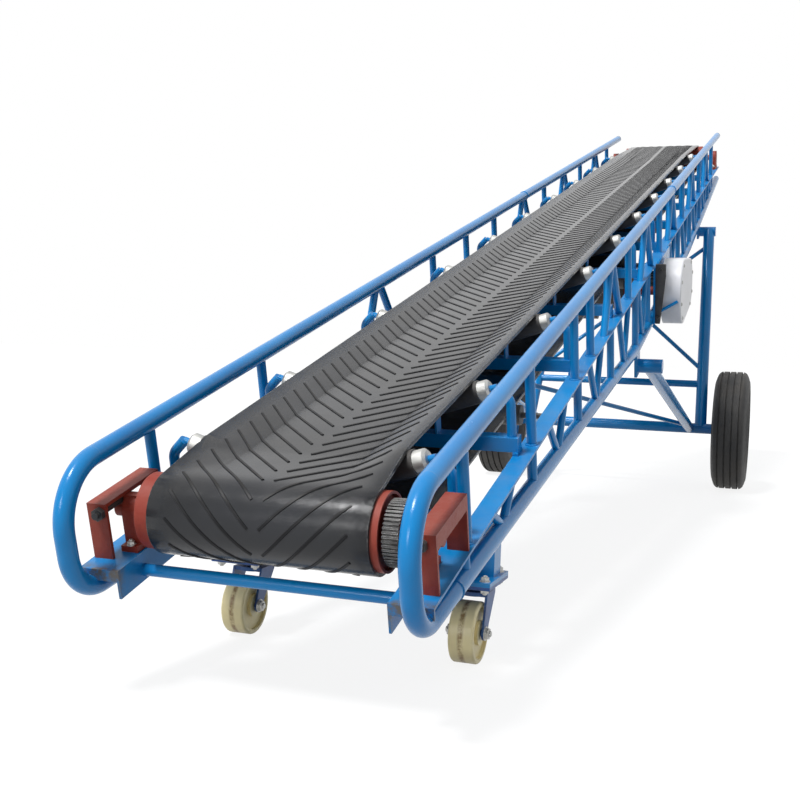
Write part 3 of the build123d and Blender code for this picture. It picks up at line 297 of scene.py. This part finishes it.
FINISHES = {
    "frame_blue": finish("brushed_blue_paint", BLUE, BLUE_DEEP, PRIMER, (3.0, 0.55, 0.14, 0.30),
                         (0.003, 0.25, 0.15, 45.0), (0.10, 14.0, 0.4), (420.0, 55.0, 0.12, 0.002),
                         coat=0.06, shine=0.28),
    "angle_blue": finish("scuffed_blue_paint", BLUE, BLUE_DEEP, PRIMER, (3.0, 0.5, 0.25, 0.45),
                         (0.004, 0.6, 0.3, 45.0), (0.15, 14.0, 0.4), (420.0, 55.0, 0.15, 0.002),
                         coat=0.05, shine=0.25),
    "toothed_ring": finish("toothed_ring_iron", IRON, IRON_WORN, STEEL, (16.0, 0.4, 0.4, 0.6),
                           (0.003, 1.0, 0.2, 25.0), (0.1, 20.0, 0.2), (350.0, 70.0, 0.2, 0.002)),
    "red_oxide": finish("red_oxide_primer", RED_OXIDE, RED_PALE, IRON_WORN, (14.0, 0.5, 0.38, 0.6),
                        (0.003, 0.5, 0.5, 60.0), (0.12, 20.0, 0.3), (500.0, 80.0, 0.3, 0.003), shine=0.3),
    "belt_rubber": finish("ribbed_belt_rubber", RUBBER, RUBBER_GREY, BELT_EDGE, (4.0, 0.6, 0.09, 0.20),
                          (0.004, 0.8, 0.0, 18.0), (0.05, 9.0, 0.2), (600.0, 40.0, 0.06, 0.002), shine=0.40),
    # Ribs darker than the belt: painted shade for the ribs' sides that face away from the light
    "belt_ribs": finish("belt_rib_rubber_painted_shade", RIB_BLACK_PAINTED_SHADE, RUBBER, RUBBER_GREY, (9.0, 0.4, 0.32, 0.50),
                        (0.001, 0.3, 0.1, 60.0), (0.05, 20.0, 0.1), (600.0, 60.0, 0.1, 0.002), shine=0.2),
    "roller_steel": finish("roller_tube_steel", STEEL, STEEL_DULL, IRON_WORN, (18.0, 0.7, 0.35, 0.6),
                           (0.002, 0.4, 0.4, 50.0), (0.20, 20.0, 0.2), (500.0, 60.0, 0.15, 0.002),
                           metallic=0.85),
    "dark_iron": finish("dark_cast_iron", IRON, IRON_WORN, STEEL_DULL, (16.0, 0.4, 0.4, 0.6),
                        (0.002, 0.5, 0.3, 60.0), (0.2, 20.0, 0.2), (350.0, 70.0, 0.3, 0.002)),
    "tyre": finish("tyre_rubber", TYRE_BLACK, TYRE_DUSTY, TYRE_DUSTY, (9.0, 0.5, 0.55, 0.75),
                   (0.003, 0.5, 0.1, 30.0), (0.25, 10.0, 0.25), (500.0, 60.0, 0.2, 0.002)),
    "nylon": finish("cream_nylon", NYLON, NYLON_STAIN, NYLON_STAIN, (14.0, 0.35, 0.3, 0.5),
                    (0.002, 0.3, 0.3, 50.0), (0.2, 20.0, 0.05), (300.0, 50.0, 0.1, 0.002)),
    "fork_blue": finish("caster_fork_blue", FORK_BLUE, BLUE_DEEP, FORK_BARE, (18.0, 0.5, 0.3, 0.5),
                        (0.002, 0.6, 0.3, 60.0), (0.2, 20.0, 0.15), (400.0, 60.0, 0.15, 0.002)),
    "guard_white": finish("guard_sheet_white", GUARD_WHITE, GUARD_SHADE, PRIMER, (5.0, 0.3, 0.3, 0.5),
                          (0.002, 0.3, 0.2, 50.0), (0.1, 14.0, 0.2), (400.0, 40.0, 0.1, 0.002)),
}

# Bands and folds on single finishes: places and widths in metres, patches as a noise scale
CASTER_X = 0.303
SEAM_HALF = 0.003
SEAM_FADE = 0.006
SEAM_PATCHES = 60.0
ANGLE_FRONT_Y = 3.392
ANGLE_WEAR_HALF = 0.006
ANGLE_WEAR_FADE = 0.030
ANGLE_WEAR_PATCHES = 45.0
BELT_FOLD_R = 0.07


def soften_folds(made, radius):
    """Round the shading where the belt folds between its rollers."""
    tree = made.node_tree
    bent = add(tree, "ShaderNodeBevel", samples=8)
    bent.inputs["Radius"].default_value = radius
    bump = [node for node in tree.nodes if node.type == "BUMP"][0]
    join(tree, bent.outputs["Normal"], bump.inputs["Normal"])


soften_folds(FINISHES["belt_rubber"], BELT_FOLD_R)
band_over(FINISHES["nylon"], "X", CASTER_X, SEAM_HALF, SEAM_FADE, NYLON_SEAM, SEAM_PATCHES)
band_over(FINISHES["angle_blue"], "Y", ANGLE_FRONT_Y, ANGLE_WEAR_HALF, ANGLE_WEAR_FADE,
          IRON_WORN, ANGLE_WEAR_PATCHES)


def set_finish(piece, slot):
    """Give a CAD piece the finish of its slot."""
    piece.data.materials.clear()
    piece.data.materials.append(FINISHES[slot])


# Finish of each CAD node
NODE_SLOTS = {
    "belt": "belt_rubber",
    "tail_drum": "red_oxide", "head_drum": "red_oxide", "tail_toothed_ring": "toothed_ring",
    "side_angle_right": "angle_blue", "side_angle_left": "angle_blue",
    "takeup_frames": "red_oxide", "tail_bearings": "red_oxide", "takeup_screws": "dark_iron",
    # Roller shells near-black: partly their own dark paint, partly painted shade for the shadow under the
    # belt
    "head_bearings": "red_oxide", "centre_rollers": "dark_iron", "side_rollers": "dark_iron",
    "return_rollers": "dark_iron", "drive_drum": "red_oxide", "bend_rollers": "dark_iron",
    "roller_caps": "roller_steel",
    "drive_motor": "dark_iron", "drive_reducer": "dark_iron", "drive_guard": "guard_white",
    "rail_plugs": "dark_iron",
    "caster_heads": "fork_blue", "caster_fork_right": "fork_blue", "caster_fork_left": "fork_blue",
    "caster_wheel_right": "nylon", "caster_wheel_left": "nylon",
    "tyre_right": "tyre", "tyre_left": "tyre",
}

for name, piece in nodes.items():
    set_finish(piece, NODE_SLOTS.get(name, "frame_blue"))


# Slope frame in metres: x across, s along the belt from the tail drum's axis, n square to the belt

SLOPE = math.radians(16.0)
ACROSS = Vector((1, 0, 0))
ALONG = Vector((0, math.cos(SLOPE), math.sin(SLOPE)))
SQUARE = Vector((0, -math.sin(SLOPE), math.cos(SLOPE)))
UP = Vector((0, 0, 1))
DOWN = Vector((0, 0, -1))
SMOOTH_BELOW = math.radians(38)
drum_low, drum_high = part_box("tail_drum")
TAIL_AXIS = Vector((0, (drum_low.y + drum_high.y) / 2, (drum_low.z + drum_high.z) / 2))


def on_slope(x, s, n):
    """Point of the slope frame as it stands."""
    return TAIL_AXIS + ACROSS * x + ALONG * s + SQUARE * n


def new_piece(name, shape, slot, body="frame", finish_name=None):
    """Object from a mesh being built, finished by its slot and riding on a body."""
    bmesh.ops.recalc_face_normals(shape, faces=shape.faces)
    mesh = bpy.data.meshes.new(name)
    shape.to_mesh(mesh)
    shape.free()
    for face in mesh.polygons:
        face.use_smooth = True
    mesh.set_sharp_from_angle(angle=SMOOTH_BELOW)
    mesh.materials.append(FINISHES[finish_name or slot])
    made = bpy.data.objects.new(name, mesh)
    scene.collection.objects.link(made)
    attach(made, body)
    return made


def lathe(shape, rows, centre, axis, steps=24, closed=False):
    """Faces turned round an axis from rows of (along, radius); a radius of 0 closes an end."""
    axis = axis.normalized()
    side = axis.orthogonal().normalized()
    other = axis.cross(side)
    rings = []
    for along, radius in rows:
        middle = centre + axis * along
        if radius == 0:
            rings.append([shape.verts.new(middle)] * steps)
            continue
        ring = []
        for i in range(steps):
            angle = 2 * math.pi * i / steps
            spoke = side * math.cos(angle) + other * math.sin(angle)
            ring.append(shape.verts.new(middle + spoke * radius))
        rings.append(ring)
    pairs = list(zip(rings[:-1], rings[1:]))
    if closed:
        pairs.append((rings[-1], rings[0]))
    for first, second in pairs:
        for i in range(steps):
            j = (i + 1) % steps
            corners = []
            for corner in (first[i], first[j], second[j], second[i]):
                if corner not in corners:
                    corners.append(corner)
            shape.faces.new(corners)


BEAD_SIDES = 7


def bead(shape, centre, axis, radius, thick, steps=28):
    """Rounded weld bead round a tube."""
    rows = []
    for i in range(BEAD_SIDES):
        angle = 2 * math.pi * i / BEAD_SIDES
        rows.append((thick * math.cos(angle), radius + thick * math.sin(angle)))
    lathe(shape, rows, centre, axis, steps, closed=True)


# Bolt, as shares of its head: heights of its height, radii of its width or of its corner
WASHER_TOP = 0.2
WASHER_R = (0.68, 0.66)
HEAD_SHOULDER = 0.85
CROWN_R = 0.86
STUB_TOP = (1.3, 1.45)
STUB_R = (0.29, 0.2)


def bolt(shape, centre, axis, width, height):
    """Washer, six-sided head with a chamfered crown, and the end of its thread."""
    corner = width / 2 / math.cos(math.pi / 6)
    seat = WASHER_TOP * height
    washer = ((0, 0), (0, WASHER_R[0] * width), (seat, WASHER_R[1] * width), (seat, 0))
    lathe(shape, washer, centre, axis, 20)
    shoulder = HEAD_SHOULDER * height
    head = ((seat, 0), (seat, corner), (shoulder, corner), (height, CROWN_R * corner), (height, 0))
    lathe(shape, head, centre, axis, 6)
    low, top = (share * height for share in STUB_TOP)
    wide, tip = (share * width for share in STUB_R)
    stub = ((height, 0), (height, wide), (low, wide), (top, tip), (top, 0))
    lathe(shape, stub, centre, axis, 12)


# Belt: herringbone ribs on its outer face

BELT_REACH = 6.853
WRAP_R = 0.092
FLAT_HALF = 0.140
WING_TILT = math.radians(18.0)
TROUGH_FROM = 0.185
TROUGH_TO = 6.070
TROUGH_SINK = 0.012
WRAP_LEN = math.pi * WRAP_R
LOOP_LEN = 2 * BELT_REACH + 2 * WRAP_LEN
RIB_COUNT = 230
RIB_FROM = 0.013
RIB_TO = 0.206
RIB_STEPS = 16
RIB_BASE = 0.0040
RIB_TOP = 0.0026
RIB_HEIGHT = 0.0019
RIB_ROOT = 0.0012
DRIVE_GAP = (3.02, 3.46)


def trough_share(s):
    """0 where the belt is flat at the drums, 1 in the trough."""
    return max(0.0, min(1.0, s / TROUGH_FROM, (BELT_REACH - s) / (BELT_REACH - TROUGH_TO)))


def belt_face(u, a):
    """Point and outward direction on the belt: u round the loop from the tail's top, a across it."""
    u = u % LOOP_LEN
    if u < BELT_REACH:
        share = trough_share(u)
        over = max(0.0, abs(a) - FLAT_HALF)
        tilt = WING_TILT * share if over > 0 else 0.0
        side = math.copysign(1.0, a)
        x = side * (min(abs(a), FLAT_HALF) + over * math.cos(tilt))
        n = WRAP_R - TROUGH_SINK * share + over * math.sin(tilt)
        out = ACROSS * (-side * math.sin(tilt)) + SQUARE * math.cos(tilt)
        return on_slope(x, u, n), out
    u -= BELT_REACH
    if u < WRAP_LEN:
        angle = math.pi / 2 - u / WRAP_R
        out = ALONG * math.cos(angle) + SQUARE * math.sin(angle)
        return on_slope(a, BELT_REACH, 0) + out * WRAP_R, out
    u -= WRAP_LEN
    if u < BELT_REACH:
        return on_slope(a, BELT_REACH - u, -WRAP_R), -SQUARE
    angle = -math.pi / 2 - (u - BELT_REACH) / WRAP_R
    out = ALONG * math.cos(angle) + SQUARE * math.sin(angle)
    return on_slope(a, 0, 0) + out * WRAP_R, out


def at_drive(u):
    """True where the return run leaves its line to pass the drive drum."""
    s = BELT_REACH - (u - BELT_REACH - WRAP_LEN)
    return u > BELT_REACH + WRAP_LEN and DRIVE_GAP[0] < s < DRIVE_GAP[1]


def rib(shape, start, side):
    """One arm of a V, from the smooth middle strip out to the margin."""
    rows = []
    for i in range(RIB_STEPS + 1):
        a = RIB_FROM + (RIB_TO - RIB_FROM) * i / RIB_STEPS
        rows.append(belt_face(start + a - RIB_FROM, side * a))
    rings = []
    for i, (point, out) in enumerate(rows):
        before = rows[max(0, i - 1)][0]
        after = rows[min(RIB_STEPS, i + 1)][0]
        wide = out.cross(after - before).normalized()
        root = point - out * RIB_ROOT
        crest = point + out * RIB_HEIGHT
        corners = (
            root - wide * RIB_BASE,
            crest - wide * RIB_TOP,
            crest + wide * RIB_TOP,
            root + wide * RIB_BASE,
        )
        rings.append([shape.verts.new(corner) for corner in corners])
    sides = len(rings[0])
    for first, second in zip(rings[:-1], rings[1:]):
        for i in range(sides):
            j = (i + 1) % sides
            shape.faces.new((first[i], first[j], second[j], second[i]))
    shape.faces.new(rings[0])
    shape.faces.new(rings[-1])


def belt_ribs():
    """Vs all round the loop, apart from the dip at the drive drum."""
    shape = bmesh.new()
    for i in range(RIB_COUNT):
        start = LOOP_LEN * i / RIB_COUNT
        reach = start + RIB_TO - RIB_FROM
        if at_drive(start) or at_drive(reach):
            continue
        for side in (-1, 1):
            rib(shape, start, side)
    new_piece("belt_herringbone_ribs", shape, "belt_rubber", finish_name="belt_ribs")


# Frame: welds, joints and fasteners

RAIL_X = 0.375
RAIL_N = 0.146
RAIL_R = 0.022
ANGLE_N = -0.082
UPRIGHT_R = 0.0135
# Places of the uprights along each rail
UPRIGHTS = {
    1: (0.150, 0.760, 1.347, 1.616, 2.456, 3.450, 4.480, 5.500, 6.450),
    -1: (0.150, 0.722, 2.260, 2.735, 3.212, 4.315, 5.400, 6.450),
}
RAIL_JOINTS = {1: 3.950, -1: 3.831}
CHORD_JOINT = (0.050, -0.1431)
CHORD_FALL = -0.0795
WELD_STAND = 0.0008
UPRIGHT_BEAD = 0.0034
RAIL_BEAD = 0.0030
CHORD_BEAD = 0.0028


def frame_welds():
    """Beads at the feet of the uprights and round the joints of rails and chords."""
    shape = bmesh.new()
    for side, places in UPRIGHTS.items():
        x = side * RAIL_X
        for s in places:
            foot = on_slope(x, s, ANGLE_N + WELD_STAND)
            bead(shape, foot, SQUARE, UPRIGHT_R + WELD_STAND, UPRIGHT_BEAD)
        bead(shape, on_slope(x, RAIL_JOINTS[side], RAIL_N), ALONG, RAIL_R, RAIL_BEAD)
        chord = ALONG + SQUARE * CHORD_FALL
        bead(shape, on_slope(x, *CHORD_JOINT), chord, RAIL_R, CHORD_BEAD)
    new_piece("frame_weld_beads", shape, "frame_blue")


# Bolts in the bearings' feet, tail and head: x, s of the axis, half their spacing, n, width, height
BEARING_FEET = (
    (0.329, 0.0, 0.0425, -0.068, 0.0150, 0.009),
    (0.366, BELT_REACH, 0.064, -0.064, 0.021, 0.012),
)


def bearing_bolts():
    """Bolts in the feet of the tail and head bearings."""
    shape = bmesh.new()
    for side in (-1, 1):
        for end in (-1, 1):
            for x, s, half, n, width, height in BEARING_FEET:
                bolt(shape, on_slope(side * x, s + end * half, n), SQUARE, width, height)
    new_piece("bearing_foot_bolts", shape, "roller_steel")


# Drive: places as (s, n), turned profiles as rows of (along, radius)
DRIVE_SN = (3.238, -0.223)
MOTOR_SN = (3.512, -0.244)
GUARD_FACE_X = 0.518
PLATE_FACE_X = 0.406
# Screws round each end of the guard: middle, radius, turns in degrees
GUARD_SCREW_RINGS = (
    (DRIVE_SN, 0.130, (105, 150, 195, 240)),
    (MOTOR_SN, 0.102, (75, 20, -35, -90)),
)
GUARD_SCREW = ((0, 0), (0, 0.0085), (0.002, 0.0085), (0.004, 0.0055), (0.0045, 0.0030), (0.0032, 0.0020),
               (0.0032, 0))
FLANGE_BEARING = ((0, 0), (0, 0.064), (0.010, 0.062), (0.013, 0.045), (0.028, 0.040), (0.032, 0.034),
                  (0.032, 0.024), (0.036, 0.020), (0.036, 0))
FLANGE_TURNS = (45, 135, 225, 315)
FLANGE_BOLT_R = 0.053
FLANGE_BOLT_OUT = 0.010
FLANGE_BOLT = (0.013, 0.008)
COWL_X = 0.077
GRILLE_RADII = (0.012, 0.024, 0.036)
GRILLE_BEAD = 0.0028


def round_place(x, middle, radius, turn):
    """Point on a circle in the side plane, at a turn in degrees."""
    angle = math.radians(turn)
    return on_slope(x, middle[0] + radius * math.cos(angle), middle[1] + radius * math.sin(angle))


def guard_screws():
    """Domed screws round the guard's face."""
    shape = bmesh.new()
    for middle, radius, turns in GUARD_SCREW_RINGS:
        for turn in turns:
            lathe(shape, GUARD_SCREW, round_place(GUARD_FACE_X, middle, radius, turn), ACROSS, 18)
    new_piece("guard_screws", shape, "roller_steel")


def drive_bearing():
    """Flange bearing on the left plate, and its bolts."""
    shape = bmesh.new()
    lathe(shape, FLANGE_BEARING, on_slope(-PLATE_FACE_X, *DRIVE_SN), -ACROSS, 40)
    new_piece("drive_flange_bearing", shape, "dark_iron")
    shape = bmesh.new()
    for turn in FLANGE_TURNS:
        place = round_place(-PLATE_FACE_X - FLANGE_BOLT_OUT, DRIVE_SN, FLANGE_BOLT_R, turn)
        bolt(shape, place, -ACROSS, *FLANGE_BOLT)
    new_piece("drive_bearing_bolts", shape, "roller_steel")


def motor_grille():
    """Rings on the end of the motor's cowl."""
    shape = bmesh.new()
    for radius in GRILLE_RADII:
        bead(shape, on_slope(COWL_X, *MOTOR_SN), -ACROSS, radius, GRILLE_BEAD)
    new_piece("motor_cowl_grille", shape, "dark_iron")


# Bracket between the drive plate and the guard: x, n round its outline
BRACKET = ((0.4060, -0.065), (0.452, -0.065), (0.452, -0.120), (0.428, -0.340), (0.4060, -0.340))
BRACKET_S = (3.069, 3.085)
BRACKET_ROUND = 0.003
BRACKET_BOLTS = ((0.432, -0.092), (0.417, -0.310))
BRACKET_BOLT = (0.012, 0.007)


def guard_bracket():
    """Dark tapered bracket in front of the guard, bolted through."""
    shape = bmesh.new()
    front = [shape.verts.new(on_slope(x, BRACKET_S[0], n)) for x, n in BRACKET]
    rear = [shape.verts.new(on_slope(x, BRACKET_S[1], n)) for x, n in BRACKET]
    shape.faces.new(front)
    shape.faces.new(rear)
    for i in range(len(front)):
        j = (i + 1) % len(front)
        shape.faces.new((front[i], front[j], rear[j], rear[i]))
    edges = list(shape.edges)
    bmesh.ops.bevel(shape, geom=edges, offset=BRACKET_ROUND, segments=2, affect="EDGES", profile=0.5)
    for x, n in BRACKET_BOLTS:
        bolt(shape, on_slope(x, BRACKET_S[0], n), -ALONG, *BRACKET_BOLT)
    new_piece("guard_back_bracket", shape, "dark_iron")


# Wheels and casters

# Sides of the machine: name, sign of x
SIDES = (("right", 1), ("left", -1))
CASTER_AXLE = (TAIL_AXIS.y + 0.467, 0.075)
FORK_FACE = 0.042
FOOT_TOP = 0.210
HEAD_UNDER = 0.192
# Bolts as (width, height), with their places from the caster's middle and from the tail drum's axis
PLATE_BOLT = (0.019, 0.010)
PLATE_BOLTS_OUT = (-0.048, 0.048)
PLATE_BOLTS_ALONG = (0.424, 0.556)
AXLE_NUT = (0.026, 0.0105)


def caster_bolts():
    """Bolts through the foot plates, and the axle bolts in the forks."""
    shape = bmesh.new()
    for side in (-1, 1):
        for out in PLATE_BOLTS_OUT:
            for along in PLATE_BOLTS_ALONG:
                place = Vector((side * CASTER_X + out, TAIL_AXIS.y + along, FOOT_TOP))
                bolt(shape, place, UP, *PLATE_BOLT)
                place.z = HEAD_UNDER
                bolt(shape, place, DOWN, *PLATE_BOLT)
    new_piece("caster_plate_bolts", shape, "roller_steel")
    for name, side in SIDES:
        shape = bmesh.new()
        for out in (-1, 1):
            place = Vector((side * CASTER_X + out * FORK_FACE, *CASTER_AXLE))
            bolt(shape, place, ACROSS * out, *AXLE_NUT)
        new_piece(f"caster_axle_nuts_{name}", shape, "roller_steel", f"caster_fork_{name}")


WHEEL_X = 0.685
WHEEL_AT = (TAIL_AXIS.y + 4.578, 0.340)
WHEEL_NUTS = 6
WHEEL_NUT = (0.021, 0.012)
WHEEL_NUT_R = 0.070
WHEEL_NUT_OUT = 0.0265
HUB_OUT = 0.052
HUB_CAP = ((0.0095, 0), (0.0095, 0.026), (0, 0.026), (0, 0.042), (0.005, 0.041), (0.012, 0.034),
           (0.016, 0.018), (0.017, 0))
# Raised rings on each tyre wall: distance from the middle, radius
WALL_RINGS = ((0.0792, 0.220), (0.0905, 0.244), (0.0905, 0.288))
WALL_BEAD = 0.0022


def road_wheel_trim():
    """Wheel nuts, hub caps and the raised rings on the tyre walls."""
    for name, side in SIDES:
        body = f"wheel_{name}"
        shape = bmesh.new()
        for i in range(WHEEL_NUTS):
            angle = 2 * math.pi * i / WHEEL_NUTS
            y = WHEEL_AT[0] + WHEEL_NUT_R * math.cos(angle)
            z = WHEEL_AT[1] + WHEEL_NUT_R * math.sin(angle)
            bolt(shape, Vector((side * (WHEEL_X + WHEEL_NUT_OUT), y, z)), ACROSS * side, *WHEEL_NUT)
        new_piece(f"wheel_nuts_{name}", shape, "roller_steel", body)
        shape = bmesh.new()
        lathe(shape, HUB_CAP, Vector((side * (WHEEL_X + HUB_OUT), *WHEEL_AT)), ACROSS * side, 32)
        new_piece(f"hub_cap_{name}", shape, "dark_iron", body)
        shape = bmesh.new()
        middle = Vector((side * WHEEL_X, *WHEEL_AT))
        for out in (-1, 1):
            for along, radius in WALL_RINGS:
                bead(shape, middle + ACROSS * (out * along), ACROSS, radius, WALL_BEAD, 64)
        new_piece(f"tyre_wall_rings_{name}", shape, "tyre", body)


belt_ribs()
frame_welds()
bearing_bolts()
guard_screws()
drive_bearing()
motor_grille()
guard_bracket()
caster_bolts()
road_wheel_trim()


# Stage, light and camera

FLOOR_HALF = 60
FLOOR_GREY = (0.40, 0.40, 0.40, 1)
FLOOR_SEEN = (0.16, 0.16, 0.16, 1)
FLOOR_GLOW = 0.86
DOME_TINT = (0.94, 0.97, 1.0, 1)
DOME_LOW = 0.16
DOME_HIGH = 0.60
DOME_BACK = 2.0
# Where the dome brightens, as parts of the direction's z and y
DOME_RISE = (-0.1, 1.0)
BACK_FROM = (0.50, 0.92)
BACK_FADE = (0.80, 0.30)
# Lamps: direction of the light, strength, softness in degrees
ROOF_LIGHT = ((0.30, 0.45, -1.0), 2.9, 12)
FRONT_WINDOW = ((0.25, 0.95, -0.32), 0.8, 16)
WHITE = (1, 1, 1, 1)


def background_rays(tree):
    """1 for rays that show the white background: straight from the camera, mirrored or passed on."""
    path = add(tree, "ShaderNodeLightPath")
    mirrored = maths(tree, "MAXIMUM", path.outputs["Is Camera Ray"], path.outputs["Is Glossy Ray"])
    return maths(tree, "MAXIMUM", mirrored, path.outputs["Is Transmission Ray"])


def studio_floor():
    """Pale floor that shows white, with the object's soft shadow left on it."""
    mesh = bpy.data.meshes.new("studio_floor")
    corners = [(x * FLOOR_HALF, y * FLOOR_HALF, 0) for x, y in ((-1, -1), (1, -1), (1, 1), (-1, 1))]
    mesh.from_pydata(corners, [], [(0, 1, 2, 3)])
    floor = bpy.data.objects.new("studio_floor", mesh)
    scene.collection.objects.link(floor)
    made = bpy.data.materials.new("studio_floor_white")
    made.use_nodes = True
    tree = made.node_tree
    tree.nodes.clear()
    matt = add(tree, "ShaderNodeBsdfDiffuse")
    matt.inputs["Color"].default_value = FLOOR_GREY
    faint = add(tree, "ShaderNodeBsdfDiffuse")
    faint.inputs["Color"].default_value = FLOOR_SEEN
    glow = add(tree, "ShaderNodeEmission")
    glow.inputs["Strength"].default_value = FLOOR_GLOW
    both = add(tree, "ShaderNodeAddShader")
    join(tree, faint.outputs[0], both.inputs[0])
    join(tree, glow.outputs[0], both.inputs[1])
    pick = add(tree, "ShaderNodeMixShader")
    join(tree, background_rays(tree), pick.inputs[0])
    join(tree, matt.outputs[0], pick.inputs[1])
    join(tree, both.outputs[0], pick.inputs[2])
    out = add(tree, "ShaderNodeOutputMaterial")
    join(tree, pick.outputs[0], out.inputs["Surface"])
    mesh.materials.append(made)


def studio_sky():
    """White to the eye and in reflections; to matt faces a dome, brighter overhead and past the head."""
    world = bpy.data.worlds.new("studio_sky")
    world.use_nodes = True
    scene.world = world
    tree = world.node_tree
    tree.nodes.clear()
    dome = add(tree, "ShaderNodeBackground")
    dome.inputs["Color"].default_value = DOME_TINT
    aim = add(tree, "ShaderNodeSeparateXYZ")
    join(tree, add(tree, "ShaderNodeTexCoord").outputs["Generated"], aim.inputs[0])
    above = spread(tree, aim.outputs["Z"], *DOME_RISE, DOME_LOW, DOME_HIGH)
    behind = spread(tree, aim.outputs["Y"], *BACK_FROM, 0, DOME_BACK)
    low_band = spread(tree, aim.outputs["Z"], *BACK_FADE, 0, 1)
    bright = maths(tree, "ADD", above, maths(tree, "MULTIPLY", behind, low_band))
    join(tree, bright, dome.inputs["Strength"])
    white = add(tree, "ShaderNodeBackground")
    white.inputs["Strength"].default_value = 1.0
    white.inputs["Color"].default_value = WHITE
    pick = add(tree, "ShaderNodeMixShader")
    join(tree, background_rays(tree), pick.inputs[0])
    join(tree, dome.outputs[0], pick.inputs[1])
    join(tree, white.outputs[0], pick.inputs[2])
    out = add(tree, "ShaderNodeOutputWorld")
    join(tree, pick.outputs[0], out.inputs["Surface"])


def studio_lamp(name, aim, strength, softness):
    """Soft sun lamp shining along a direction."""
    lamp = bpy.data.lights.new(name, "SUN")
    lamp.energy = strength
    lamp.angle = math.radians(softness)
    holder = bpy.data.objects.new(name, lamp)
    holder.rotation_euler = Vector(aim).to_track_quat("-Z", "Y").to_euler()
    scene.collection.objects.link(holder)


def photo_camera():
    """Camera at the photograph's place, aim and roll."""
    flat = math.cos(CAMERA_DIP)
    ahead = Vector((-math.sin(CAMERA_YAW) * flat, math.cos(CAMERA_YAW) * flat, -math.sin(CAMERA_DIP)))
    level = Vector((math.cos(CAMERA_YAW), math.sin(CAMERA_YAW), 0))
    down = ahead.cross(level)
    right = level * math.cos(CAMERA_ROLL) + down * math.sin(CAMERA_ROLL)
    below = down * math.cos(CAMERA_ROLL) - level * math.sin(CAMERA_ROLL)
    turn = Matrix((right, -below, -ahead)).transposed()
    lens = bpy.data.cameras.new("photo_camera")
    lens.lens = LENS_MM
    lens.sensor_width = SENSOR_MM
    lens.clip_end = CAMERA_SEES_TO
    camera = bpy.data.objects.new("photo_camera", lens)
    camera.matrix_world = Matrix.Translation(TAIL_AXIS + CAMERA_FROM_DRUM) @ turn.to_4x4()
    scene.collection.objects.link(camera)
    scene.camera = camera


studio_floor()
studio_sky()
studio_lamp("roof_light", *ROOF_LIGHT)
studio_lamp("front_window", *FRONT_WINDOW)
photo_camera()
scene.view_settings.view_transform = "Standard"
